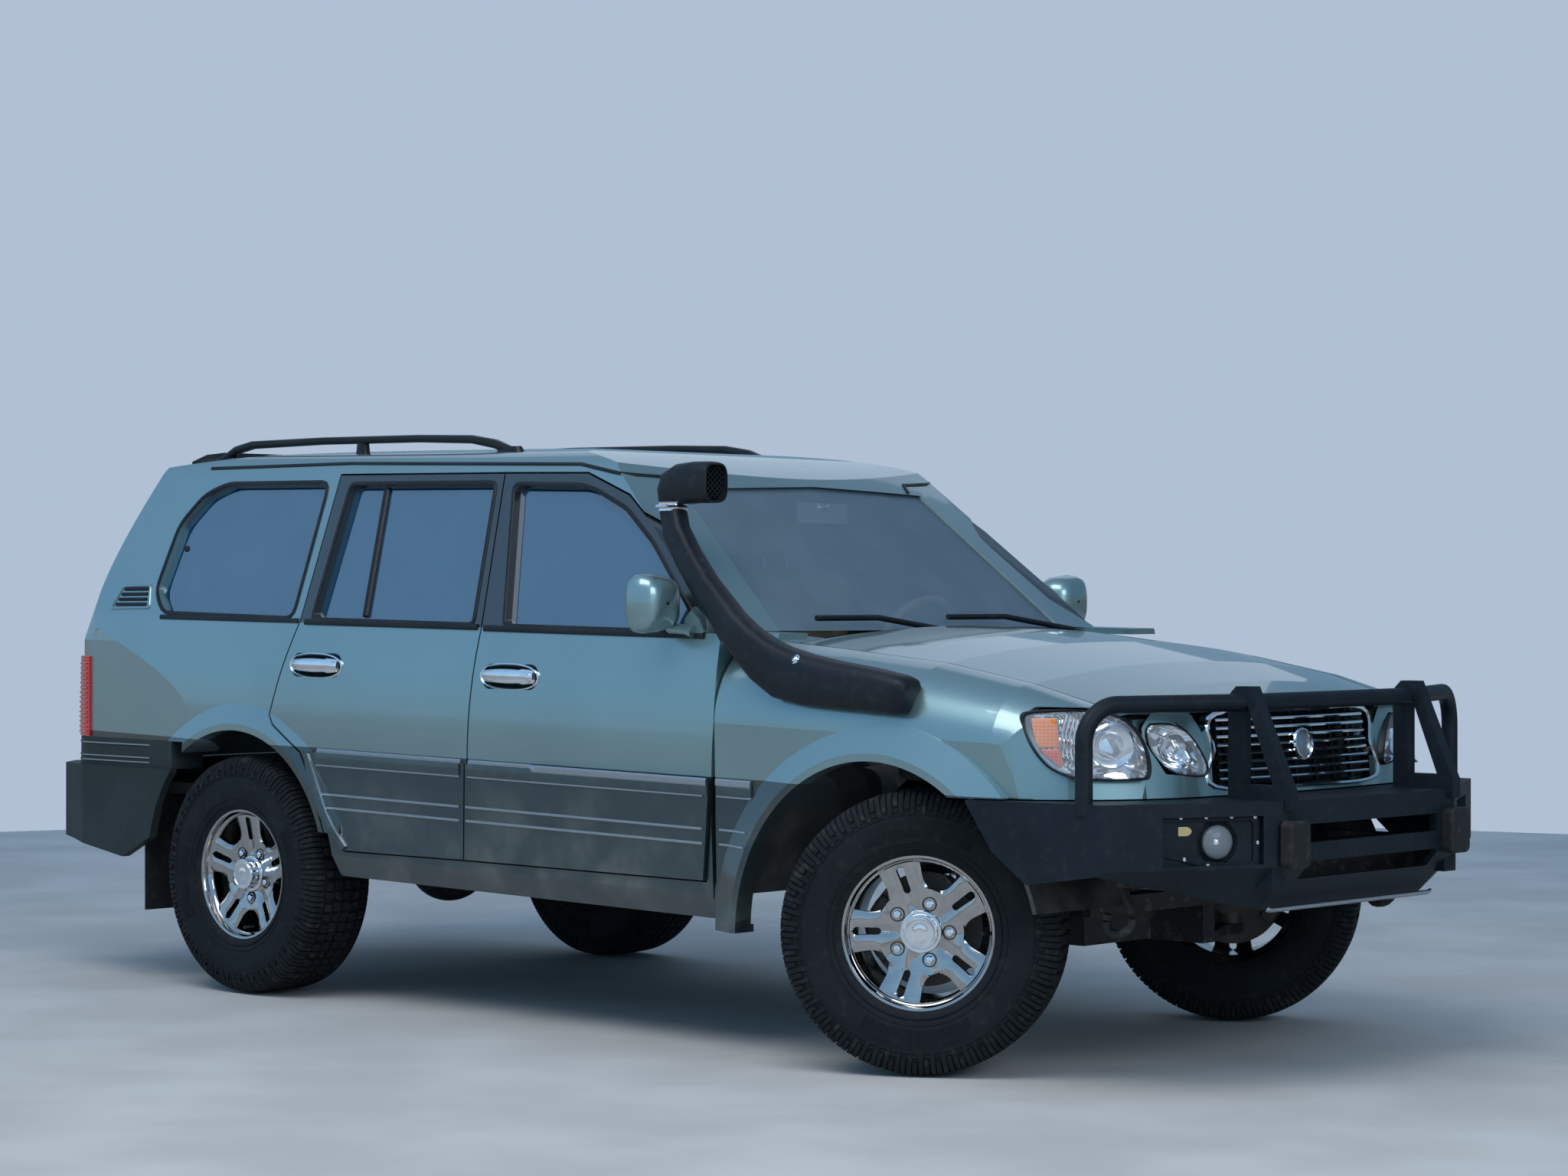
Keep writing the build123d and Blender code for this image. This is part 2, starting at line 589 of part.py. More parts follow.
with BuildPart() as rear_bumper:
    with BuildSketch(Plane.XY.offset(400)):
        add(inset_plan(rear_bumper_plan, 0, -1780))
    extrude(amount=strip_foot_z - 400)
    add(side_prism(rear_bumper_foot, 0, -1100), mode=Mode.INTERSECT)
    with BuildSketch(Plane.XY.offset(380)):
        with BuildLine():
            Polyline((bumper_wall - rear_reach, 400), (bumper_wall - rear_reach, -550), (-2525, -770), (-2450, -858),
                     (-2290, -903), (-1700, -918), (-1700, 400), close=True)
        make_face()
    extrude(amount=strip_foot_z - bumper_wall - 380, mode=Mode.SUBTRACT)
    add(block(-2330, -1700, -918, 0, 600, 800), mode=Mode.SUBTRACT)
    add((deep_walls + (skin.moved(Location((0, -10, 0))) - skin)) & block(-2700, -1780, -1000, 0, strip_foot_z, strip_top_z))
    add(tail_hole, mode=Mode.SUBTRACT)
    add(rear_arch_cut, mode=Mode.SUBTRACT)
    add(block(-2440, -2400, -480, -400, strip_foot_z - 20, tailgate_outline[0][1] - running_gap))
write("rear_bumper", both_sides(rear_bumper.part))

# Tail lamps on the rear corners

lamp_foot_z, lamp_top_z = 833, 1112
with BuildPart() as tail_lamp:
    add(skin.moved(Location((-8, -8, 0))) - skin)
    add(block(-2700, -2290, -1000, -736, lamp_foot_z, lamp_top_z), mode=Mode.INTERSECT)
write("tail_lamps", both_sides(tail_lamp.part))

# Front bumper: folded plate with swept wings

bumper_front_x, bumper_top_z = 2425, 778
bumper_plan = [(bumper_front_x, 0), (bumper_front_x, -415), (2177, -902), (1745, -950), (1745, -890), (2010, -640), (2010, 0)]
bumper_inner_plan = [(2403, 50), (2403, -409), (2162, -881), (1700, -932), (1700, 50)]
bumper_side = [(1740, 779), (1833, 637), (1939, 556), (2160, 588), (2325, 470), (2600, 470), (2600, 779)]
wing_face = Plane(origin=(bumper_front_x, -415, 0), x_dir=(487, -248, 0), z_dir=(-248, -487, 0))
undercut = [(0, 600), (-140, 440), (200, 440), (200, 600)]


def undercuts(inset):
    """What is cut away below the fold of the front face and of the wing's face."""
    with BuildPart() as cuts:
        with BuildSketch(Plane.XZ.offset(-50)):
            with BuildLine():
                Polyline(*[(bumper_front_x - inset + n, z) for n, z in undercut], close=True)
            make_face()
        extrude(amount=465)
        with BuildSketch(wing_face):
            with BuildLine():
                Polyline(*[(n - inset, z) for n, z in undercut], close=True)
            make_face()
        extrude(amount=620)
    return cuts.part


with BuildPart() as front_bumper:
    add(plan_prism(bumper_plan, 430, bumper_top_z))
    add(side_prism(bumper_side, 0, -1100), mode=Mode.INTERSECT)
    add(undercuts(0), mode=Mode.SUBTRACT)
    add(plan_prism(bumper_inner_plan, 400, bumper_top_z - 20) - undercuts(22), mode=Mode.SUBTRACT)
    with BuildSketch(Plane.YZ.offset(2300)):
        with Locations((-160, 686), (-160, 586)):
            Rectangle(320, 50)
    extrude(amount=200, mode=Mode.SUBTRACT)
    with BuildSketch(wing_face.offset(70)):
        with BuildLine():
            Polyline((-40, 610), (-40, 740), (20, 740), (20, 610), close=True)
        make_face()
    extrude(amount=300, mode=Mode.SUBTRACT)
    with BuildSketch(wing_face.offset(62)):
        with BuildLine():
            Polyline((-70, 598), (-70, 752), (-22, 752), (-22, 598), close=True)
        make_face()
    extrude(amount=316)
    add(block(rail_front_x, 2404, -rail_out, -rail_in, rail_low + 10, floor_z - 10))
write("front_bumper", both_sides(front_bumper.part))

with BuildPart() as bumper_lamp:
    with BuildSketch(Plane(origin=Vector(bumper_front_x, -415, 672) + wing_face.z_dir * 190 - wing_face.x_dir * 22,
                           z_dir=wing_face.x_dir)):
        Circle(46)
    extrude(amount=18)
    with BuildSketch(Plane(origin=Vector(bumper_front_x, -415, 702) + wing_face.z_dir * 315 - wing_face.x_dir * 22,
                           x_dir=wing_face.z_dir, z_dir=wing_face.x_dir)):
        SlotOverall(92, 40)
    extrude(amount=16)
write("bumper_lamps", both_sides(bumper_lamp.part))

# Guard: hoops, a top tube and two uprights, with rubber buffers below

tube_radius = 24
hoop_foot, hoop_top_z = (2108, -893), 1040
hoop_bend = (2145, -795)
guard_y, guard_half = 405, 20
upright_outline = [(2238, bumper_top_z), (2238, 1058), (2264, 1084), (2316, 1084), (2438, 806), (2438, 752),
                   (bumper_front_x, 752), (bumper_front_x, bumper_top_z)]
upright_window = [(2286, 818), (2286, 1038), (2300, 1038), (2386, 818)]
with BuildPart() as guard:
    with BuildLine() as hoop_line:
        FilletPolyline((*hoop_foot, bumper_top_z - 30), (*hoop_foot, hoop_top_z), (2284, -guard_y, hoop_top_z),
                       (2292, 0, hoop_top_z), radius=[105, 90])
    with BuildSketch(Plane(origin=hoop_line.line @ 0, z_dir=hoop_line.line % 0)):
        Circle(tube_radius)
    sweep(path=hoop_line.line)
    add(plan_prism(bumper_plan, 500, bumper_top_z) , mode=Mode.SUBTRACT)
    with BuildSketch(Plane.XZ.offset(guard_y - guard_half)):
        with BuildLine():
            Polyline(*upright_outline, close=True)
        make_face()
        with BuildLine():
            Polyline(*upright_window, close=True)
        make_face(mode=Mode.SUBTRACT)
    extrude(amount=2 * guard_half)
write("guard", both_sides(guard.part))

buffer_low, buffer_high, buffer_depth = 580, 734, front_reach - bumper_front_x
with BuildPart() as buffer:
    with BuildSketch(Plane.YZ.offset(bumper_front_x)):
        with Locations((-398, (buffer_low + buffer_high) / 2 + 4)):
            RectangleRounded(94, buffer_high - buffer_low - 24, 20)
    extrude(amount=buffer_depth)
    fillet(buffer.faces().sort_by(Axis.X)[-1].edges(), 10)
write("buffers", both_sides(buffer.part))

# Roof rails

rail_y, rail_width = 592, 38
rail_outline = [(-1962, 1780), (-1862, 1844), (-1775, 1862), (-640, 1848), (-530, 1832), (-425, 1778),
                (-512, 1778), (-570, 1806), (-650, 1822), (-1765, 1836), (-1835, 1818), (-1880, 1780)]
with BuildPart() as roof_rail:
    add(side_prism(rail_outline, rail_width / 2 - rail_y, -rail_width / 2 - rail_y))
    add(skin, mode=Mode.SUBTRACT)
write("roof_rails", both_sides(roof_rail.part))

# Air intake: a duct on the right wing, a pipe up the pillar and a head

duct_outline = [(1525, 1018), (1518, 1106), (1480, 1126), (1250, 1152), (1060, 1184), (985, 1160), (905, 1072), (912, 1046),
                (985, 1024), (1090, 1004), (1500, 1000)]
intake_radius = 31
intake_path = [(1000, -938, 1122), (860, -918, 1222), (700, -880, 1352), (510, -822, 1524), (494, -810, 1600)]
intake_head = [(411, 1716), (423, 1728), (650, 1728), (676, 1704), (676, 1610), (610, 1596), (411, 1596)]
with BuildPart() as intake:
    add(side_prism(duct_outline, -860, -972, 12))
    for start, end in zip(intake_path, intake_path[1:]):
        add(rod(start, end, intake_radius))
    for corner in intake_path[:-1]:
        with Locations(corner):
            Sphere(intake_radius)
    add(side_prism(intake_head, -757, -863, 10))
    add(nose, mode=Mode.SUBTRACT)
    add(skin, mode=Mode.SUBTRACT)
    add(front_flare, mode=Mode.SUBTRACT)
    with BuildSketch(Plane.YZ.offset(640)):
        with Locations((-810, 1662)):
            RectangleRounded(86, 92, 8)
    extrude(amount=60, mode=Mode.SUBTRACT)
write("air_intake", intake.part)

# Wipers, mud flaps and the inner mirror

with BuildPart() as wipers:
    for pivot_y, tip_y in ((560, -20), (-40, -620)):
        add(rod((925, pivot_y, 1160), (922, pivot_y, 1222), 9))
        add(rod((922, pivot_y, 1220), (884, (pivot_y + tip_y) / 2, 1262), 9))
        add(rod((884, (pivot_y + tip_y) / 2, 1262), (862, tip_y + 40, 1262), 9))
    add(windscreen.part, mode=Mode.SUBTRACT)
    add(both_sides(bulkhead_half.part), mode=Mode.SUBTRACT)
write("wipers", wipers.part)

flap_x, flap_foot_z = -1962, 244
with BuildPart() as mud_flap:
    add(block(flap_x - 6, flap_x, -912, -690, flap_foot_z, 640))
    add(rear_bumper.part, mode=Mode.SUBTRACT)
write("mud_flaps", both_sides(mud_flap.part))

with BuildPart() as inner_mirror:
    add(block(335, 357, -118, 118, 1556, 1620))
    add(rod((350, 0, 1600), (379, 0, 1607), 9))
    add(windscreen.part, mode=Mode.SUBTRACT)
write("inner_mirror", inner_mirror.part)

# Door mirrors

mirror_head = [(512, 1236), (506, 1372), (540, 1384), (600, 1376), (632, 1340), (636, 1250), (612, 1222)]
with BuildPart() as door_mirror:
    add(side_prism(mirror_head, -928, -1056, 14))
    add(side_prism([(545, 1206), (560, 1250), (625, 1250), (700, 1206)], -850, -960))
    add(skin, mode=Mode.SUBTRACT)
    add(side_prism([(506, 1240), (540, 1280), (620, 1280), (636, 1240)], -905, -930))
for side, turn in sides:
    write(f"door_mirror_{side}", turn(door_mirror.part))

# Ladder frame and what hangs on it

with BuildPart() as frame_rail:
    add(block(-2440, rail_front_x, -rail_out, -rail_in, rail_low, floor_z))
write("frame_rails", both_sides(frame_rail.part))
with BuildPart() as cross_members:
    for x, low, high in ((2230, 540, 640), (1700, 420, 470), (250, 470, 500), (-700, 550, 640), (-2420, 550, 640)):
        add(block(x - 40, x + 40, -rail_in, rail_in, low, high))
    for x, low in ((1700, 420), (250, 470)):
        for y in (-rail_in, rail_in - 30):
            add(block(x - 40, x + 40, y, y + 30, low, rail_low + 20))
write("cross_members", cross_members.part)

hub_out = wheel_y + hub_face - running_gap


def hub(y_in):
    """Hub flange, brake disc and caliper on the right side, the wheel straight ahead."""
    with BuildPart() as assembly:
        for radius, start, end in ((60, y_in, 768), (disc_radius, 768, 794), (72, 794, hub_out)):
            with BuildSketch(Plane.XZ.offset(start)):
                Circle(radius)
            extrude(amount=end - start)
        with BuildSketch(Plane.XZ.offset(745)):
            with BuildLine():
                Polyline((60, 60), (60, 150), (150, 60), close=True)
            make_face()
        extrude(amount=72)
    return assembly.part


with BuildPart() as rear_axle:
    add(rod((rear_axle_x, -720, hub_z), (rear_axle_x, 720, hub_z), 48))
    with Locations((rear_axle_x, 0, hub_z)):
        Sphere(148)
    add(both_sides(hub(700).moved(Location((rear_axle_x, 0, hub_z)))))
    for y in (-425, 425):
        add(rod((rear_axle_x, y, hub_z + 30), (rear_axle_x, y, rail_low), 52))
        add(rod((rear_axle_x, y, hub_z - 20), (rear_axle_x + 760, y, rail_low), 20))
    add(both_sides(frame_rail.part), mode=Mode.SUBTRACT)
write("rear_axle", rear_axle.part)

with BuildPart() as engine_block:
    add(block(1130, 1900, -290, 290, 500, 1000))
with BuildPart() as gearbox:
    add(engine_block.part)
    add(block(300, 1130, -150, 150, 500, bulkhead_foot_z - 10))
    add(rod((300, 0, 548), (-1290, 0, 440), 38))
    add(rear_axle.part, mode=Mode.SUBTRACT)
write("engine_and_gearbox", gearbox.part)

kingpin_y = wheel_y - kingpin_inset
arm_z, arm_wall = 275, 32
upper_arm_z = 545
with BuildPart() as front_arms:
    add(block(front_axle_x - 130, front_axle_x + 130, -rail_out, -rail_in, arm_z, rail_low))
    add(plan_prism([(front_axle_x - 130, -rail_out), (front_axle_x + 130, -rail_out), (front_axle_x + 32, -650),
                    (front_axle_x + 32, -kingpin_y - 25), (front_axle_x - 32, -kingpin_y - 25),
                    (front_axle_x - 32, -650)], arm_z, arm_z + arm_wall))
    add(plan_prism([(front_axle_x - 110, -rail_out), (front_axle_x + 110, -rail_out), (front_axle_x + 28, -600),
                    (front_axle_x + 28, -kingpin_y - 20), (front_axle_x - 28, -kingpin_y - 20),
                    (front_axle_x - 28, -600)], upper_arm_z, upper_arm_z + 24))
    add(rod((front_axle_x, 0, hub_z), (front_axle_x, -640, hub_z), 20))
    add(block(front_axle_x - 110, front_axle_x + 110, -160, 0, hub_z - 90, 500))
write("front_suspension", both_sides(front_arms.part))

with BuildPart() as knuckle:
    add(rod((0, -kingpin_y, arm_z + arm_wall + running_gap), (0, -kingpin_y, upper_arm_z - running_gap), 30))
    add(hub(670).moved(Location((0, 0, hub_z))))

with BuildPart() as exhaust:
    add(rod((760, -560, 560), (-2380, -560, 560), 27))
    add(rod((-250, -560, 550), (-820, -560, 550), 84))
    add(block(-2040, -2010, -580, -rail_out, 575, floor_z))
    add(block(300, 330, -580, -rail_out, 575, floor_z))
write("exhaust", exhaust.part)
with BuildPart() as fuel_tank:
    add(block(-820, 120, 480, 770, 440, floor_z))
write("fuel_tank", fuel_tank.part)

# Seats, dashboard and steering wheel

seat_y, seat_half = 372, 250
front_seat_back = [(-150, 930), (0, 930), (-150, 1440), (-270, 1440)]
rear_seat_back = [(-1190, 930), (-1050, 930), (-1150, 1440), (-1260, 1440)]


def seat(y_mid, half, front_x, rear_x, back, head_x):
    """A seat's base, cushion, back and head rest as one piece."""
    with BuildPart() as chair:
        add(block(rear_x + 30, front_x - 60, y_mid - half + 30, y_mid + half - 30, floor_z + floor_wall, 860))
        add(block(rear_x, front_x, y_mid - half, y_mid + half, 860, 960))
        add(side_prism(back, y_mid + half, y_mid - half, 20))
        add(block(head_x, head_x + 110, y_mid - 130, y_mid + 130, 1460, 1620))
        add(block(head_x + 35, head_x + 60, y_mid - 60, y_mid + 60, 1420, 1470))
    return chair.part


with BuildPart() as seats:
    add(both_sides(seat(-seat_y, seat_half, 330, -110, front_seat_back, -270)))
    add(seat(0, 640, -600, -1120, rear_seat_back, -1265))
write("seats", seats.part)

dash_front_x = 790
with BuildPart() as dashboard:
    add(side_prism([(540, 930), (520, 1120), (560, 1180), (dash_front_x, 1186), (dash_front_x, 860), (640, 860)], 640, -640))
    add(block(-60, 640, -110, 110, floor_z + floor_wall, 900))
    add(rod((560, seat_y, 1080), (425 + running_gap, seat_y, 1143.2), 34))
write("dashboard", dashboard.part)

column = Plane(origin=(425, seat_y, 1143.3), z_dir=(-128, 0, 60))
with BuildPart() as steering_wheel:
    with BuildSketch(column):
        Circle(60)
        with Locations((0, 0)):
            Rectangle(370, 34)
            Rectangle(34, 370)
    extrude(amount=22)
    with Locations(column.offset(12)):
        Torus(182, 15)
write("steering_wheel", steering_wheel.part)

# Wheels, drawn round their own axis with the outer side towards -y

tyre_section = [(bead_radius, 99), (bead_radius + 18, 99), (bead_radius + 26, 118), (262, 129), (300, tyre_half_width),
                (345, 129), (380, 122), (tyre_radius, 106)]
tyre_cavity = [(bead_radius + 14, 82), (262, 112), (345, 114), (tyre_radius - 20, 100)]
rim_section = [(bead_radius - barrel_wall, rim_half_width), (rim_flange_radius, rim_half_width),
               (rim_flange_radius, 100), (bead_radius, 99)]


def turned(section, y=0):
    """A ring whose section is (radius, half width), turned about the wheel's axis."""
    with BuildPart() as ring:
        with BuildSketch(Plane.XY):
            with BuildLine():
                Polyline(*[(r, w) for r, w in section], *[(r, -w) for r, w in reversed(section)], close=True)
            make_face()
        revolve(axis=Axis.Y)
    return ring.part


with BuildPart() as tyre:
    add(turned(tyre_section))
    add(turned(tyre_cavity), mode=Mode.SUBTRACT)

spoke_count, face_in, face_out = 5, 60, 92
with BuildPart() as rim:
    add(turned(rim_section))
    with BuildSketch(Plane.XZ.offset(face_in)):
        Circle(bead_radius - barrel_wall + 2)
        with PolarLocations(0, spoke_count, 36):
            with BuildLine():
                Polyline((88, 16), (160, 52), (184, 30), (184, -30), (160, -52), (88, -16), close=True)
            make_face(mode=Mode.SUBTRACT)
        with PolarLocations(130, spoke_count):
            SlotOverall(90, 16, mode=Mode.SUBTRACT)
    extrude(amount=face_out - face_in)
    with BuildSketch(Plane.XZ.offset(hub_face)):
        Circle(84)
    extrude(amount=face_out - hub_face - 4)
    with BuildSketch(Plane.XZ.offset(face_out - 8)):
        Circle(42)
    extrude(amount=26)

front_turn = Location((front_axle_x, 0, 0))
for side, turn in sides:
    hand = -1 if side == "right" else 1
    kingpin = Axis((front_axle_x, hand * kingpin_y, 0), (0, 0, 1))
    steered = turn(knuckle.part).moved(front_turn).rotate(kingpin, steer_angle)
    write(f"knuckle_{side}", steered)
    for name, piece in (("tyre", tyre), ("rim", rim)):
        placed = turn(piece.part.moved(Location((0, -wheel_y, hub_z))))
        write(f"{name}_front_{side}", placed.moved(front_turn).rotate(kingpin, steer_angle))
        write(f"{name}_rear_{side}", placed.moved(Location((rear_axle_x, 0, 0))))

with BuildPart() as spare_wheel:
    with BuildSketch(Plane.XY.offset(386)):
        with Locations((-1990, 0)):
            Circle(384)
            Circle(90, mode=Mode.SUBTRACT)
    extrude(amount=240)
    with BuildSketch(Plane.XY.offset(440)):
        with Locations((-1990, 0)):
            Circle(92)
    extrude(amount=floor_z - 440)
write("spare_wheel", spare_wheel.part)

# Deflector over the roof's rear edge

deflector_outline = [(-1972, 1812), (-1978, 1827), (-2080, 1822), (-2162, 1800), (-2168, 1787), (-2085, 1806)]
with BuildPart() as deflector:
    add(side_prism(deflector_outline, 560, -560))
    for y in (-430, 430):
        add(block(-2070, -2010, y - 20, y + 20, 1740, 1815))
    add(both_sides(skin), mode=Mode.SUBTRACT)
write("roof_deflector", deflector.part)
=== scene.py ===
"""Looks of a lifted off-road wagon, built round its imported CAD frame.

The file is laid out as an add-on and is run as a script. Points named in millimetres are about
the point halfway between the axles; at() turns them into the frame's metres.
"""
from math import cos, pi, radians, sin

import bmesh
import bpy
from bpy.props import FloatProperty, FloatVectorProperty, PointerProperty
from mathutils import Matrix, Vector
from mathutils.bvhtree import BVHTree


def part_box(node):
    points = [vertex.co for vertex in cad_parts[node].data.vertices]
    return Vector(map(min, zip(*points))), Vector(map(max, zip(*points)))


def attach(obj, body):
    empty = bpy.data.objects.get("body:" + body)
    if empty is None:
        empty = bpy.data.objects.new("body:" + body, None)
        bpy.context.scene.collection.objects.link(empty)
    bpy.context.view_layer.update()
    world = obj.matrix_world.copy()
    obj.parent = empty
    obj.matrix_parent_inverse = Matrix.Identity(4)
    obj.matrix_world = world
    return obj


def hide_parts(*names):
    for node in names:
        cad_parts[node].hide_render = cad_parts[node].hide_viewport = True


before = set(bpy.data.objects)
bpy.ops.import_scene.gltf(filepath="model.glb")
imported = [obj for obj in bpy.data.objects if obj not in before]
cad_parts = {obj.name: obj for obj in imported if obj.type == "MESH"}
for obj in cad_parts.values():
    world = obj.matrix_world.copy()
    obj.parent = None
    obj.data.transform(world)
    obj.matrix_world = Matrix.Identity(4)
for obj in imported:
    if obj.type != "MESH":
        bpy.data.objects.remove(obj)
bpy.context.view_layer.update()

bl_info = {
    "name": "Lifted off-road wagon",
    "version": (1, 0, 0),
    "blender": (4, 5, 0),
    "location": "3D View > Sidebar > Wagon",
    "description": "Builds the visible pieces of an off-road wagon on its CAD frame",
    "category": "Object",
}

HANDS = (("right", 1), ("left", -1))      # the right side is drawn, the left is its mirror image
MIDDLE = 69                               # mm from the overall middle to the axles' midpoint


def at(x, y, z):
    """A point in millimetres about the axles' midpoint, in the frame's metres."""
    return Vector(((x + MIDDLE) / 1000, y / 1000, z / 1000))




# Shader maths


class Value:
    """A shader socket that stands in a Python expression on numbers."""

    def __init__(self, finish, socket):
        self.finish = finish
        self.socket = socket

    def _math(self, operation, *others, clamp=False):
        values = {i: v for i, v in enumerate((self, *others))}
        return self.finish.node("ShaderNodeMath", {"operation": operation, "use_clamp": clamp}, values)

    def __add__(self, other):
        return self._math("ADD", other)

    def __sub__(self, other):
        return self._math("SUBTRACT", other)

    def __mul__(self, other):
        return self._math("MULTIPLY", other)

    def __truediv__(self, other):
        return self._math("DIVIDE", other)

    def __rsub__(self, other):
        return self._math("MULTIPLY", -1) + other

    def __abs__(self):
        return self._math("ABSOLUTE")

    def __gt__(self, other):
        return self._math("GREATER_THAN", other)

    def __lt__(self, other):
        return self._math("LESS_THAN", other)

    __radd__ = __add__
    __rmul__ = __mul__

    def fraction(self):
        return self._math("FRACT")

    def ramp(self, low, high, start=0.0, end=1.0):
        """The value carried over from low..high to start..end, smoothly and held at the ends."""
        return self.finish.node("ShaderNodeMapRange", {"interpolation_type": "SMOOTHSTEP"},
                                {0: self, 1: low, 2: high, 3: start, 4: end})

    def split(self):
        """The three numbers of a point or colour."""
        node = self.finish.node("ShaderNodeSeparateXYZ", {}, {0: self}, output=None)
        return [Value(self.finish, out) for out in node.outputs]


class Finish:
    """One procedural material, built on a Principled shader."""

    def __init__(self, name, colour=(0.5, 0.5, 0.5), roughness=0.5, metallic=0.0, **fixed):
        self.material = bpy.data.materials.new(name)
        self.material.use_nodes = True
        self.tree = self.material.node_tree
        self.shader = self.tree.nodes["Principled BSDF"]
        self.set("Base Color", colour)
        self.set("Roughness", roughness)
        self.set("Metallic", metallic)
        for socket, value in fixed.items():
            self.set(socket.replace("_", " "), value)
        finishes[name] = self.material

    def link(self, value, socket):
        if isinstance(value, Value):
            self.tree.links.new(value.socket, socket)
        elif hasattr(socket, "default_value"):
            if hasattr(value, "__len__") and socket.type == "RGBA":
                value = (*tuple(value)[:3], 1.0)
            socket.default_value = value

    def node(self, kind, settings, values, output=0):
        """Any shader node: its settings first, then the values or links of its sockets."""
        node = self.tree.nodes.new(kind)
        for name, value in settings.items():
            setattr(node, name, value)
        for key, value in values.items():
            self.link(value, node.inputs[key])
        return node if output is None else Value(self, node.outputs[output])

    def set(self, socket, value):
        self.link(value, self.shader.inputs[socket])
        return self

    def place(self):
        """Where a point is on the object, in metres, at rest."""
        return self.node("ShaderNodeTexCoord", {}, {}, "Object")

    def noise(self, scale, detail=3.0):
        return self.node("ShaderNodeTexNoise", {}, {"Vector": self.place(), "Scale": scale, "Detail": detail})

    def cells(self, scale):
        return self.node("ShaderNodeTexVoronoi", {}, {"Vector": self.place(), "Scale": scale})

    def mix(self, share, first, second):
        """Two colours mixed by a share from 0 to 1."""
        return self.node("ShaderNodeMix", {"data_type": "RGBA"}, {0: share, 6: first, 7: second}, 2)

    def bump(self, height, strength=0.3, distance=0.001):
        normal = self.node("ShaderNodeBump", {}, {"Height": height, "Strength": strength,
                                                  "Distance": distance})
        return self.set("Normal", normal)


finishes = {}


# Mesh building

def in_metres(outline):
    return [(a / 1000, b / 1000) for a, b in outline]


def facing(point, way):
    """A place at point whose local z axis looks along way."""
    return Matrix.Translation(point) @ way.to_track_quat("Z", "Y").to_matrix().to_4x4()


def turned(point, degrees, axis):
    """A place at point, turned about one of the frame's axes."""
    return Matrix.Translation(point) @ Matrix.Rotation(radians(degrees), 4, axis)


def bell(offset, width, power=2):
    """1 at no offset, falling off smoothly to nothing beyond the width."""
    return 2.718 ** -((offset / width) ** power)


class Form:
    """Points and faces of one piece, each face with the number of its finish."""

    def __init__(self):
        self.points = []
        self.faces = []
        self.kinds = []

    def add(self, points, faces, kind=0):
        first = len(self.points)
        self.points += [Vector(p) for p in points]
        self.faces += [tuple(first + i for i in face) for face in faces]
        self.kinds += [kind] * len(faces)
        return self

    def loft(self, rings, closed=True, caps=True, kind=0):
        """A skin over rings that have equally many points each."""
        count = len(rings[0])
        last = count if closed else count - 1
        faces = [(r * count + i, r * count + (i + 1) % count, (r + 1) * count + (i + 1) % count, (r + 1)
                  * count + i)
                 for r in range(len(rings) - 1) for i in range(last)]
        if caps:
            faces += [tuple(range(count))[::-1], tuple((len(rings) - 1) * count + i for i in range(count))]
        return self.add([p for ring in rings for p in ring], faces, kind)

    def around(self, profile, place=Matrix(), segments=48, closed=False, kind=0):
        """A profile of (radius, along) turned about the local z axis of place."""
        rings = [[place @ Vector((r * cos(2 * pi * s / segments), r * sin(2 * pi * s / segments), h))
                  for r, h in profile] for s in range(segments)]
        count = len(profile)
        faces = []
        for s in range(segments):
            a, b = s * count, (s + 1) % segments * count
            faces += [(a + i, b + i, b + (i + 1) % count, a + (i + 1) % count)
                      for i in range(count if closed else count - 1)]
        return self.add([p for ring in rings for p in ring], faces, kind)

    def tube(self, path, radius, sides=10, caps=True, kind=0, flat=1.0, up=Vector((0, 0, 1))):
        """A round or flattened bar that follows a path of points."""
        rings = []
        path = [Vector(p) for p in path]
        for i, p in enumerate(path):
            along = (path[min(i + 1, len(path) - 1)] - path[max(i - 1, 0)]).normalized()
            side = along.cross(up)
            side = side.normalized() if side.length > 1e-4 else along.orthogonal().normalized()
            top = side.cross(along)
            size = radius[i] if hasattr(radius, "__len__") else radius
            rings.append([p + size * (cos(2 * pi * k / sides) * side + flat * sin(2 * pi * k / sides) * top)
                          for k in range(sides)])
        return self.loft(rings, caps=caps, kind=kind)

    def mirrored(self):
        other = Form()
        other.points = [Vector((p.x, -p.y, p.z)) for p in self.points]
        other.faces = [tuple(reversed(face)) for face in self.faces]
        other.kinds = list(self.kinds)
        return other

    def join(self, other, place=Matrix(), kind=None):
        return self.add([place @ p for p in other.points], other.faces, 0 if kind is None
                        else kind)._kinds(other, kind)

    def _kinds(self, other, kind):
        if kind is None:
            self.kinds[-len(other.faces):] = other.kinds
        return self


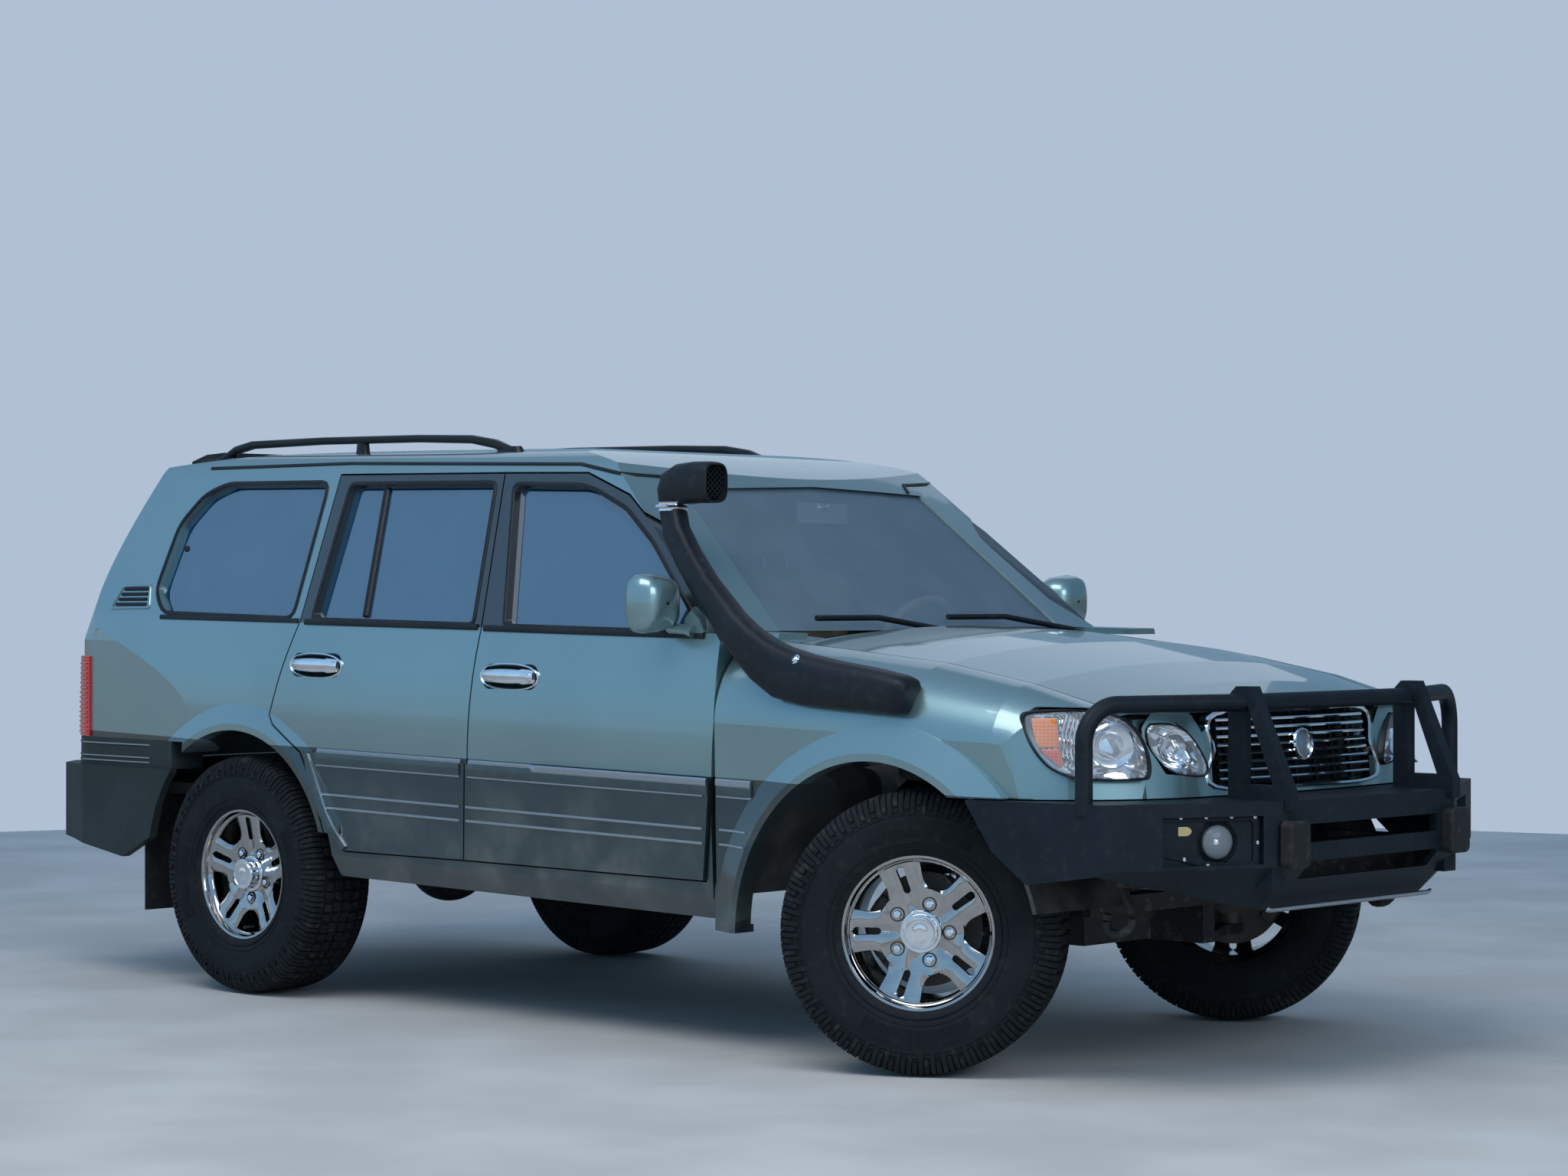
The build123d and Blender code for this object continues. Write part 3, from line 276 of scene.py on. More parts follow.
def piece(name, form, body, slot, *kinds, bevel=0.0, steps=2, divide=0, replaces=(), crease=40.0):
    """Makes the object of a form, rides it on its body and hides the CAD nodes that it replaces."""
    mesh = bpy.data.meshes.new(name)
    mesh.from_pydata(form.points, [], form.faces)
    mesh.validate()
    for kind in kinds:
        mesh.materials.append(finishes[kind])
    mesh.polygons.foreach_set("material_index", form.kinds[:len(mesh.polygons)])
    obj = bpy.data.objects.new(name, mesh)
    bpy.context.scene.collection.objects.link(obj)
    tidy = bmesh.new()
    tidy.from_mesh(mesh)
    bmesh.ops.remove_doubles(tidy, verts=tidy.verts, dist=1e-6)
    bmesh.ops.recalc_face_normals(tidy, faces=tidy.faces)
    tidy.to_mesh(mesh)
    tidy.free()
    mesh.shade_smooth()
    if bevel:
        edge = obj.modifiers.new("edge", "BEVEL")
        edge.width, edge.segments, edge.limit_method, edge.angle_limit = bevel, steps, "ANGLE", radians(30)
        edge.use_clamp_overlap = True
    if divide:
        soft = obj.modifiers.new("soft", "SUBSURF")
        soft.levels = soft.render_levels = divide
    if bevel:
        even = obj.modifiers.new("even", "WEIGHTED_NORMAL")
        even.keep_sharp = True
    elif not divide:
        mesh.set_sharp_from_angle(angle=radians(crease))
    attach(obj, body)
    if replaces:
        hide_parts(*replaces)
    return obj


def both(name, form, body, slot, *kinds, **settings):
    """A right-hand piece and its mirror image; {} in the names stands for the side."""
    made = []
    nodes = settings.pop("replaces", ())
    for side, hand in HANDS:
        shape = form if hand > 0 else form.mirrored()
        made.append(piece(name.format(side), shape, body.format(side), slot, *kinds,
                          replaces=[n.format(side) for n in nodes], **settings))
    return made


class Skin:
    """The outer face of some CAD nodes, for pieces that lie on it."""

    def __init__(self, *nodes):
        points, faces = [], []
        for node in nodes:
            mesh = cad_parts[node].data
            first = len(points)
            points += [v.co.copy() for v in mesh.vertices]
            faces += [tuple(first + i for i in face.vertices) for face in mesh.polygons]
        self.tree = BVHTree.FromPolygons(points, faces)

    def cast(self, start, way):
        """Where a ray meets the skin, and the face's direction there, turned against the ray."""
        way = Vector(way).normalized()
        point, normal, _, _ = self.tree.ray_cast(Vector(start), way)
        if point is None:
            return None, None
        return point, (-normal if normal.dot(way) > 0 else normal)

    def side(self, x, z):
        """The skin seen from the right, at an (x, z) in millimetres."""
        start = at(x, 0, z)
        start.y = -2.0
        return self.cast(start, (0, 1, 0))

    def ribbon(self, form, line, width, height, kind=0, step=20, look=None, closed=False):
        """A thin moulding that lies on the skin along a line of (x, z), or of points seen along look."""
        line = list(line) + ([line[0]] if closed else [])
        spots = []
        for a, b in zip(line, line[1:]):
            a, b = Vector(a), Vector(b)
            parts = max(1, int((b - a).length / step))
            spots += [a + (b - a) * i / parts for i in range(parts)]
        if not closed:
            spots.append(Vector(line[-1]))
        hits = []
        for spot in spots:
            if look is None:
                point, normal = self.side(spot[0], spot[1])
            else:
                point, normal = self.cast(at(*spot) - Vector(look), look)
            if point is not None:
                hits.append((point, normal))
        count = len(hits)
        rings = []
        if count < 2:
            return form
        for i, (point, normal) in enumerate(hits):
            before = hits[(i - 1) % count if closed else max(i - 1, 0)][0]
            after = hits[(i + 1) % count if closed else min(i + 1, count - 1)][0]
            along = (after - before).normalized()
            across = along.cross(normal).normalized()
            half, sink = width / 2, -0.001
            tops = ((-1, sink), (-1, height * 0.55), (-0.6, height), (0.6, height), (1, height * 0.55),
                    (1, sink))
            rings.append([point + across * half * u + normal * h for u, h in tops])
        if closed:
            rings.append(rings[0])
        return form.loft(rings, caps=not closed, kind=kind)


# Finishes

ARCHES = ((1.471, 0.358, 0.532), (-1.361, 0.400,
                                  0.482))    # x and z in the frame's metres, reach of the lining


def painted(name, zones):
    """Metallic lacquer with fine flakes; zones gives the darker lower body and the dark window frames."""
    settings = bpy.context.scene.wagon_paint
    f = Finish(name, roughness=0.32, metallic=0.55, Coat_Weight=1.0, Coat_Roughness=0.035, Coat_IOR=1.55)
    x, y, z = f.place().split()
    flakes = f.cells(2600).ramp(0.1, 0.9)
    cloud = f.noise(1.7, 2)
    colour = f.mix(flakes * 0.5, settings.body, settings.flake)
    colour = f.mix(cloud.ramp(0.4, 0.75, 0, 0.2), colour, settings.shade)
    dust = f.noise(7, 5).ramp(0.42, 0.8) * z.ramp(0.95, 0.42)
    rough = 0.3 + dust * 0.35
    metal = 0.72 - dust * 0.4
    if "lower" in zones:
        top = 0.8006 - (x - 0.969) * 0.0164
        low = (z < top) * (1 - (x > 1.99))
        colour = f.mix(low, colour, settings.lower)
        rough = rough + low * 0.06
    if "frames" in zones:
        belt = z > 1.2285 + (x + 0.2) * -0.0105
        colour = f.mix(belt, colour, (0.012, 0.016, 0.019))
        rough = rough * (1 - belt) + belt * 0.3
        metal = metal * (1 - belt)
    for middle_x, middle_z, reach in ARCHES:
        away_x, away_z = x - middle_x, z - middle_z
        inner = ((away_x * away_x + away_z * away_z) < reach * reach) * (abs(y) < 0.905)
        colour = f.mix(inner, colour, (0.008, 0.009, 0.010))
        rough = rough + inner * 0.35
        metal = metal * (1 - inner)
    colour = f.mix(dust * 0.45, colour, settings.dust)
    f.set("Base Color", colour).set("Roughness", rough).set("Metallic", metal)
    f.bump(f.noise(900, 1), 0.02, 0.0004)


def grained(name, colour, roughness, grain, strength=0.35, metallic=0.0, wear=0.0, worn=(0.2, 0.2, 0.2),
            **fixed):
    """A moulded, coated or cast surface: fine grain, cloudy colour and some dust or wear."""
    f = Finish(name, colour, roughness, metallic, **fixed)
    cloud = f.noise(5, 5)
    patches = f.noise(34, 4)
    shade = tuple(c * 1.55 + 0.004 for c in colour)
    mixed = f.mix(cloud.ramp(0.35, 0.75, 0, 0.55), colour, shade)
    if wear:
        mixed = f.mix(patches.ramp(0.52, 0.72) * wear, mixed, worn)
    f.set("Base Color", mixed).set("Roughness", roughness + (patches - 0.5) * 0.22)
    f.bump(f.noise(grain, 3) + f.cells(grain * 0.7) * 0.5, strength, 0.0005)
    return f


def polished(name, colour, roughness, streak=0.0, **fixed):
    """Bright metal with slight smears, and turning marks where streak is given."""
    f = Finish(name, colour, roughness, 1.0, **fixed)
    smear = f.noise(26, 5)
    f.set("Roughness", roughness + smear.ramp(0.45, 0.8, 0, 0.12 + streak))
    f.set("Base Color", f.mix(smear.ramp(0.4, 0.8, 0, 0.35), colour, tuple(c * 0.6 for c in colour)))
    f.bump(f.noise(420, 2), 0.03 + streak * 0.3, 0.0003)
    return f


GLASS_ROUGHNESS, LENS_RELIEF = 0.015, 0.5


def glazed(name, colour, alpha, ior):
    """Glass as a dark film that lets part of the light through, with faint wiping marks."""
    f = Finish(name, colour, GLASS_ROUGHNESS, 0.0, IOR=ior)
    haze = f.noise(6, 4)
    f.set("Alpha", alpha + haze.ramp(0.4, 0.8, 0, 0.05))
    f.set("Roughness", GLASS_ROUGHNESS + f.noise(55, 3).ramp(0.55, 0.8, 0, 0.05))
    f.set("Base Color", f.mix(haze, colour, tuple(c * 1.3 for c in colour)))


def lens(name, colour, alpha, cell):
    """A moulded lamp lens with small optics behind its face."""
    f = Finish(name, colour, 0.06, 0.0, Coat_Weight=1.0, Coat_Roughness=0.02)
    x, y, z = f.place().split()
    ribs = abs(((y + x * 0.35) * cell).fraction() - 0.5) + abs((z * cell).fraction() - 0.5)
    f.set("Alpha", alpha + ribs * 0.1)
    f.set("Base Color", f.mix(ribs.ramp(0.2, 0.9, 0, 0.5), colour,
                              tuple(min(1, c * 1.8 + 0.02) for c in colour)))
    f.bump(ribs, LENS_RELIEF, 0.002)


def leather():
    f = Finish("seat_leather", (0.30, 0.265, 0.21), 0.5)
    creases = f.cells(260)
    soft = f.noise(9, 4)
    f.set("Base Color", f.mix(soft.ramp(0.35, 0.75), (0.30, 0.262, 0.205), (0.40, 0.355, 0.285)))
    f.set("Roughness", 0.42 + creases * 0.5)
    f.bump(creases + f.noise(700, 2) * 0.4, 0.4, 0.0006)


def ground():
    """Pale concrete for the floor, and the same colour seen in glass and paint."""
    f = Finish("studio_floor", (0.5, 0.48, 0.45), 0.75)
    f.set("Base Color", f.mix(f.noise(1.6, 5).ramp(0.35, 0.7), (0.47, 0.455, 0.43), (0.55, 0.535, 0.51)))
    f.bump(f.noise(180, 3), 0.15, 0.001)


PLAIN = (  # name, colour, roughness, grain, strength, metallic, wear
    ("black_steel", (0.005, 0.009, 0.014), 0.50, 900, 0.30, 0.0, 0.03),
    ("black_plastic", (0.008, 0.011, 0.015), 0.42, 1300, 0.30, 0.0, 0.05),
    ("bumper_grey", (0.020, 0.027, 0.028), 0.50, 900, 0.20, 0.0, 0.05),
    ("satin_black", (0.010, 0.012, 0.014), 0.28, 1500, 0.12, 0.0, 0.0),
    ("rubber", (0.016, 0.016, 0.017), 0.62, 1100, 0.35, 0.0, 0.10),
    ("tyre_tread", (0.008, 0.010, 0.012), 0.85, 800, 0.45, 0.0, 0.12),
    ("tyre_wall", (0.006, 0.008, 0.010), 0.72, 1200, 0.25, 0.0, 0.05),
    ("frame_steel", (0.022, 0.021, 0.020), 0.62, 420, 0.45, 0.2, 0.35),
    ("cast_iron", (0.11, 0.095, 0.082), 0.66, 300, 0.60, 0.5, 0.40),
    ("cast_alloy", (0.30, 0.295, 0.285), 0.50, 380, 0.50, 0.7, 0.25),
    ("cabin_plastic", (0.055, 0.054, 0.052), 0.58, 800, 0.45, 0.0, 0.0),
    ("cabin_pale", (0.235, 0.215, 0.18), 0.62, 800, 0.40, 0.0, 0.0),
    ("carpet", (0.05, 0.048, 0.045), 0.95, 500, 0.9, 0.0, 0.0),
    ("headlining", (0.34, 0.325, 0.295), 0.9, 650, 0.6, 0.0, 0.0),
    ("disc_steel", (0.33, 0.32, 0.31), 0.34, 500, 0.2, 1.0, 0.2),
    ("bare_plate", (0.56, 0.57, 0.56), 0.38, 300, 0.1, 0.0, 0.0),
    ("cream_lens", (0.52, 0.40, 0.19), 0.22, 240, 0.2, 0.0, 0.0),
)


class WAGON_OT_finishes(bpy.types.Operator):
    """Makes every finish and gives each CAD node its own"""
    bl_idname = "wagon.finishes"
    bl_label = "Finishes"

    def execute(self, context):
        for name, zones in (("body_paint", ()), ("door_paint", ("lower", "frames")),
                            ("side_paint", ("lower",))):
            painted(name, zones)
        dusty = tuple(context.scene.wagon_paint.dust)
        for name, colour, roughness, grain, strength, metallic, wear in PLAIN:
            dark = {"Specular_IOR_Level": 0.2} if max(colour) < 0.03 and not metallic else {}
            grained(name, colour, roughness, grain, strength, metallic, wear, dusty, **dark)
        grained("lower_paint", tuple(context.scene.wagon_paint.lower), 0.42, 900, 0.12, 0.3, 0.12, dusty,
                Coat_Weight=0.4)
        polished("bright_trim", (0.83, 0.85, 0.88), 0.07)
        polished("brushed_lip", (0.42, 0.45, 0.48), 0.3, 0.1)
        polished("wheel_alloy", (0.44, 0.43, 0.42), 0.08, 0.03)
        polished("dark_alloy", (0.16, 0.16, 0.165), 0.22, 0.05)
        polished("lamp_bowl", (0.88, 0.90, 0.93), 0.045)
        polished("mirror", (0.86, 0.88, 0.9), 0.02)
        glazed("dark_glass", (0.002, 0.042, 0.090), 0.86, ior=3.0)
        glazed("clear_glass", (0.12, 0.18, 0.23), 0.46, ior=2.7)
        glazed("lamp_glass", (0.75, 0.8, 0.84), 0.16, ior=1.6)
        lens("red_lens", (0.50, 0.008, 0.010), 0.94, 90)
        lens("amber_lens", (0.80, 0.19, 0.02), 0.93, 110)
        lens("orange_lens", (0.62, 0.075, 0.02), 0.93, 110)
        lens("white_lens", (0.80, 0.82, 0.84), 0.6, 90)
        leather()
        ground()
        for node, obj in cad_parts.items():
            finish = CAD_FINISHES.get(node)
            if finish is None:
                finish = next((f for part, f in CAD_KINDS if part in node), "frame_steel")
            for spot in obj.material_slots:
                spot.material = finishes[finish]
            if not obj.material_slots:
                obj.data.materials.append(finishes[finish])
        return {"FINISHED"}


CAD_FINISHES = {
    "roof_panel": "body_paint", "bonnet": "body_paint", "front_panel": "body_paint", "hatch": "body_paint",
    "tailgate": "body_paint", "rear_bumper": "bumper_grey", "front_bumper": "black_steel",
    "guard": "black_steel", "buffers": "rubber", "mud_flaps": "rubber", "windscreen": "clear_glass",
    "quarter_glass": "dark_glass", "headlamps": "lamp_glass", "bumper_lamps": "lamp_glass",
    "tail_lamps": "red_lens", "grille": "satin_black", "seats": "seat_leather", "dashboard": "cabin_plastic",
    "steering_wheel": "cabin_plastic", "inner_mirror": "mirror", "engine_and_gearbox": "cast_alloy",
    "floor_pan": "carpet", "bulkhead": "frame_steel",
}
CAD_KINDS = (  # part of a node's name, finish
    ("body_side", "side_paint"), ("front_wing", "side_paint"), ("glass", "dark_glass"),
    ("_door_", "door_paint"), ("door_mirror", "body_paint"), ("rim_", "wheel_alloy"),
    ("tyre_", "tyre_tread"), ("spare", "tyre_tread"), ("air_intake", "black_plastic"),
    ("roof_", "black_plastic"), ("wipers", "black_plastic"), ("knuckle", "cast_iron"),
)


# Stage

class WAGON_OT_stage(bpy.types.Operator):
    """Lays the floor, and sets the world, the lamps and the camera"""
    bl_idname = "wagon.stage"
    bl_label = "Stage"

    def execute(self, context):
        scene = context.scene
        settings = scene.wagon_stage
        ring = Form()
        sides, reach = 96, settings.floor_reach
        rim = [(reach * cos(2 * pi * s / sides), reach * sin(2 * pi * s / sides), -0.002)
               for s in range(sides)]
        ring.add(rim + [(x, y, -0.03) for x, y, _ in rim],
                 [tuple(range(sides))] + [(i, i + sides, (i + 1) % sides + sides, (i + 1) % sides)
                                          for i in range(sides)])
        mesh = bpy.data.meshes.new("floor")
        mesh.from_pydata(ring.points, [], ring.faces)
        mesh.materials.append(finishes["studio_floor"])
        floor = bpy.data.objects.new("floor", mesh)
        scene.collection.objects.link(floor)
        self.light_world(scene, settings)
        for name, place, size, power, colour in LAMPS:
            lamp = bpy.data.lights.new(name, "AREA")
            lamp.shape, lamp.size, lamp.size_y, lamp.energy, lamp.color = "RECTANGLE", *size, power, colour
            stand = bpy.data.objects.new(name, lamp)
            stand.location = place
            stand.rotation_euler = (Vector((0, 0, 0.8)) - Vector(place)).to_track_quat("-Z", "Y").to_euler()
            scene.collection.objects.link(stand)
        camera = bpy.data.cameras.new("camera")
        camera.sensor_width = 36
        camera.lens = settings.lens
        camera.clip_end = 200
        eye = bpy.data.objects.new("camera", camera)
        eye.location = settings.eye
        eye.rotation_euler = (pi / 2, 0, settings.turn)
        scene.collection.objects.link(eye)
        scene.camera = eye
        scene.view_settings.view_transform = "Standard"
        return {"FINISHED"}

    def light_world(self, scene, settings):
        """A pale sky that deepens upwards, and a plain backdrop for the camera."""
        world = bpy.data.worlds.new("studio")
        scene.world = world
        world.use_nodes = True
        tree = world.node_tree
        tree.nodes.clear()
        out = tree.nodes.new("ShaderNodeOutputWorld")
        sky = tree.nodes.new("ShaderNodeBackground")
        plain = tree.nodes.new("ShaderNodeBackground")
        either = tree.nodes.new("ShaderNodeMixShader")
        path = tree.nodes.new("ShaderNodeLightPath")
        spot = tree.nodes.new("ShaderNodeTexCoord")
        height = tree.nodes.new("ShaderNodeSeparateXYZ")
        ramp = tree.nodes.new("ShaderNodeValToRGB")
        stops = ramp.color_ramp.elements
        for place, colour in SKY[2:]:
            stops.new(place)
        for stop, (place, colour) in zip(stops, SKY):
            stop.position, stop.color = place, (*colour, 1)
        plain.inputs["Color"].default_value = (*settings.backdrop, 1)
        tree.links.new(spot.outputs["Generated"], height.inputs[0])
        tree.links.new(height.outputs["Z"], ramp.inputs["Fac"])
        side = tree.nodes.new("ShaderNodeMapRange")
        for name, value in (("From Min", -0.5), ("From Max", 0.5), ("To Min", settings.sky * 1.25),
                            ("To Max", settings.sky * 0.5)):
            side.inputs[name].default_value = value
        tree.links.new(height.outputs["Y"], side.inputs["Value"])
        tree.links.new(side.outputs[0], sky.inputs["Strength"])
        tree.links.new(ramp.outputs["Color"], sky.inputs["Color"])
        tree.links.new(path.outputs["Is Camera Ray"], either.inputs[0])
        tree.links.new(sky.outputs[0], either.inputs[1])
        tree.links.new(plain.outputs[0], either.inputs[2])
        tree.links.new(either.outputs[0], out.inputs["Surface"])


LAMPS = (  # name, place, size, power, colour
    ("high_soft", (1.5, -4.5, 7.0), (7.0, 4.0), 330, (1.0, 0.97, 0.93)),
    ("front_soft", (8.5, -2.5, 4.0), (4.5, 3.0), 170, (0.92, 0.96, 1.0)),
    ("back_soft", (-6.0, 6.0, 6.0), (9.0, 6.0), 60, (0.93, 0.96, 1.0)),
)
SKY = ((0.0, (0.34, 0.33, 0.31)), (0.02, (0.46, 0.68, 0.88)), (0.12, (0.34, 0.61, 0.90)),
       (0.45, (0.28, 0.50, 0.80)), (1.0, (0.36, 0.54, 0.80)))


# Wheels

WHEELS = (  # node and body ending, centre in mm, outward direction, turn of the spokes, cap's reach in mm
    ("front_right", (1472.5, -797.27, 397), (0.5, -0.8660254, 0), 0, 82),
    ("front_left", (1377.5, 797.27, 397), (-0.5, 0.8660254, 0), 20, 82),
    ("rear_right", (-1425, -810, 397), (0, -1, 0), -90, 108),
    ("rear_left", (-1425, 810, 397), (0, 1, 0), 31, 108),
)
PITCHES = 34
TREAD_FLOOR = 384                         # mm, radius that the tread blocks stand on
CROWN = ((0, 397), (40, 396.6), (70, 395.5), (96, 393), (112, 388.5), (119, 381), (124, 370), (128, 358),
         (130.5, 346), (132, 333))
BLOCKS = (  # corners of one block in one pitch: (share of the pitch, mm across the tread)
    ((0.03, 3), (0.20, 8), (0.46, 6), (0.44, 30), (0.24, 33), (0.05, 27)),
    ((0.51, 6), (0.72, 3), (0.95, 9), (0.97, 28), (0.76, 34), (0.49, 30)),
    ((0.10, 39), (0.34, 36), (0.42, 40), (0.44, 68), (0.22, 72), (0.06, 66)),
    ((0.47, 40), (0.66, 37), (0.86, 42), (0.92, 66), (0.68, 73), (0.49, 68)),
)
LUGS = (  # share of the pitch at both ends, how far down the tyre's wall it reaches
    (0.02, 0.23, 9), (0.26, 0.46, 8), (0.53, 0.73, 9), (0.76, 0.97, 7),
)


def wheel_place(centre, outward, turn=0):
    """Local x forward, y up and z out of the wheel, in metres, for a centre in millimetres."""
    out = Vector(outward).normalized()
    forward = Vector((0, 0, 1)).cross(out).normalized()
    if forward.length < 0.5:
        forward = Vector((1, 0, 0))
    up = out.cross(forward)
    spin = Matrix.Rotation(radians(turn), 4, "Z")
    turned = Matrix((forward, up, out)).transposed().to_4x4()
    return Matrix.Translation(at(*centre)) @ turned @ spin


def crown_radius(across):
    across = abs(across)
    for (a, ra), (b, rb) in zip(CROWN, CROWN[1:]):
        if across <= b:
            return ra + (rb - ra) * (across - a) / (b - a)
    return CROWN[-1][1]


def tyre_form():
    """A tyre about its own axis: a carcass, rows of tread blocks, shoulder lugs and ribs on the wall."""
    form = Form()
    wall = [(206, 99), (214, 111), (232, 121), (262, 128.5), (300, 131.2), (338, 129.5), (362, 122),
            (377, 113), (384.5, 100), (386, 80), (386.5, 0)]
    form.around(in_metres([(r, -z) for r, z in wall] + wall[-2::-1]), segments=120, kind=1)
    step = 2 * pi / PITCHES

    def spot(share, across, radius):
        turn = share * step
        return Vector((radius * cos(turn), radius * sin(turn), across)) / 1000

    for pitch in range(PITCHES):
        for sign in (-1, 1):
            shift = pitch + (0.5 if sign > 0 else 0)
            for block in BLOCKS:
                foot = [spot(shift + u, sign * v, TREAD_FLOOR) for u, v in block]
                u_mid, v_mid = sum(p[0] for p in block) / 6, sum(p[1] for p in block) / 6
                top = [spot(shift + u_mid + (u - u_mid) * 0.9, sign * (v_mid + (v - v_mid) * 0.93),
                            crown_radius(v)) for u, v in block]
                form.loft([foot, top], kind=0)
            for start, end, reach in LUGS:
                bend = 0.03
                rings = []
                for i, (across, radius) in enumerate(((76, 394.8), *CROWN[3:reach + 1])):
                    lean = bend * i / 3
                    deep = 10 if i < 4 else (5.5 if i < reach - 3 else 4)
                    low = radius - deep if i < 4 else radius - 2
                    inner = across if i < 4 else across - deep
                    narrow = 0.012
                    rings.append([spot(shift + start + lean, sign * inner, low),
                                  spot(shift + end + lean, sign * inner, low),
                                  spot(shift + end + lean - narrow, sign * (across + 1.6), radius),
                                  spot(shift + start + lean + narrow, sign * (across + 1.6), radius)])
                form.loft(rings, kind=0)
    for sign in (-1, 1):
        for radius, across, height in ((236, 123.2, 2.4), (254, 127.4, 1.2), (330, 131, 1.2),
                                       (341, 130, 2.0)):
            ring = [(radius - 2.5, across - 1), (radius - 1.2, across + height),
                    (radius + 1.2, across + height), (radius + 2.5, across - 1)]
            form.around(in_metres((r, sign * z) for r, z in ring), segments=96, kind=1)
        for middle in (90, 270):
            for tooth in range(-22, 23):
                turn = radians(middle + tooth * 1.45)
                rings = [[Vector((r * cos(turn + w), r * sin(turn + w), sign * z)) / 1000
                          for w, z in ((-0.006, across - 2), (0, across + 1.3), (0.006, across - 2))]
                         for r, across in ((266, 129.3), (292, 131), (318, 130.6))]
                form.loft(rings, kind=1)
    return form


def rim_form(cap_reach):
    """A wheel with five split spokes, its barrel, cap, nut seats and nuts."""
    form = Form()
    stations = [(60, 0, 1), (66, 0, 1), (76, 0, 1), (88, 0, 1), (100, 0, 1), (108, 0, 1), (112, 0.5, 1),
                (114, 6, 1), (118, 9, 1), (122.5, 10, 0.985), (124, 10, 0.86), (127, 10, 0.78),
                (132, 10, 0.70), (140, 10, 0.625), (150, 10.3, 0.575), (162, 10.8, 0.545),
                (174, 11.4, 0.525), (182, 11, 0.515), (187, 8, 0.51), (190, 1, 0.50), (197, 0, 0.505)]
    across_steps = 6
    top, under = [], []
    for radius, slot, share in stations:
        first = slot / radius
        last = pi / 5 * share
        top_ring, under_ring = [], []
        for i in range(across_steps + 1):
            u = i / across_steps
            turn = first + (last - first) * u
            off = radius * turn
            face = 66 + 25 * ((radius - 60) / 137) ** 1.25
            rounding = 0.0
            if slot > 4:
                rounding += 3.2 * max(0, 1 - u * 3.2) ** 2
            if share < 0.98:
                rounding += 7 * max(0, (u - 0.45) / 0.55) ** 2.2
            if radius < 114:
                rounding += 7 * max(0, 1 - off / 15) * min(1, (radius - 60) / 16)
            if share > 0.98 and 84 < radius:
                rounding += 5 * max(0, (u - 0.5) * 2) ** 2 * (radius - 84) / 38
            top_ring.append((radius * cos(turn), radius * sin(turn), face - rounding))
            under_ring.append((radius * cos(turn), radius * sin(turn), face - (30 if radius < 110 else 24)))
        top.append(top_ring)
        under.append(under_ring)
    half = Form()
    count = across_steps + 1
    rows = len(stations)
    points = [Vector(p) / 1000 for ring in top + under for p in ring]
    faces = []
    for r in range(rows - 1):
        for i in range(across_steps):
            a = r * count + i
            faces.append((a, a + 1, a + 1 + count, a + count))
            b = a + rows * count
            faces.append((b, b + count, b + count + 1, b + 1))
        for i, free in ((0, stations[r][1] > 0 or stations[r + 1][1] > 0),
                        (across_steps, stations[r + 1][2] < 0.99)):
            if free:
                a = r * count + i
                faces.append((a, a + count, a + count + rows * count, a + rows * count))
    half.add(points, faces)
    for spoke in range(5):
        turn = Matrix.Rotation(2 * pi * spoke / 5 + pi, 4, "Z")
        form.join(half, turn)
        flip = Form()
        flip.points = [Vector((p.x, -p.y, p.z)) for p in half.points]
        flip.faces = [tuple(reversed(face)) for face in half.faces]
        flip.kinds = list(half.kinds)
        form.join(flip, turn)
    lip = [(190, -100), (190, 60), (192, 78), (196, 88), (203, 93), (205, 103), (208, 109.5), (213, 112),
           (219, 111), (221, 106), (219, 99), (208, 96), (202, 84), (199, -84), (214, -98), (216, -108),
           (212, -112), (204, -108)]
    form.around(in_metres(lip), segments=96, closed=True)
    form.around([(0.0470, 0.030), (0.0600, 0.030), (0.0605, 0.066), (0.058, 0.0700), (0.052, 0.0712),
                 (0.047, 0.069)],
                segments=60, closed=True, kind=1)
    cap = [(50.5, 6), (48.5, 2), (45.5, 1), (44, 3), (42, 3), (40, 1), (30, 0.2), (22, 1.2), (18, 0.2),
           (8, 0), (0.2, 0)]
    form.around(in_metres([(50.5, 60)] + [(r, cap_reach - down) for r, down in cap]), segments=60, kind=1)
    for nut in range(5):
        spot = Matrix.Translation((0.081 * cos(2 * pi * nut / 5), 0.081 * sin(2 * pi * nut / 5), 0))
        form.around([(0.0195, 0.040), (0.0205, 0.0705), (0.019, 0.0722), (0.0172, 0.0712), (0.0165, 0.052),
                     (0.0002, 0.052)],
                    spot, 28, kind=2)
        hexed = [[spot @ Vector((r * cos(pi * k / 3), r * sin(pi * k / 3), z)) for k in range(6)]
                 for r, z in ((0.0125, 0.050), (0.0125, 0.071), (0.0105, 0.074))]
        form.loft(hexed, kind=1)
        form.around([(0.0102, 0.073), (0.0095, 0.0775), (0.005, 0.0795), (0.0002, 0.08)], spot, 20, kind=1)
    valve = Matrix.Translation((0.178, 0.0, 0.0))
    form.around([(0.0045, 0.060), (0.0045, 0.090), (0.0055, 0.091), (0.0055, 0.1), (0.0002, 0.102)], valve,
                14, kind=3)
    return form


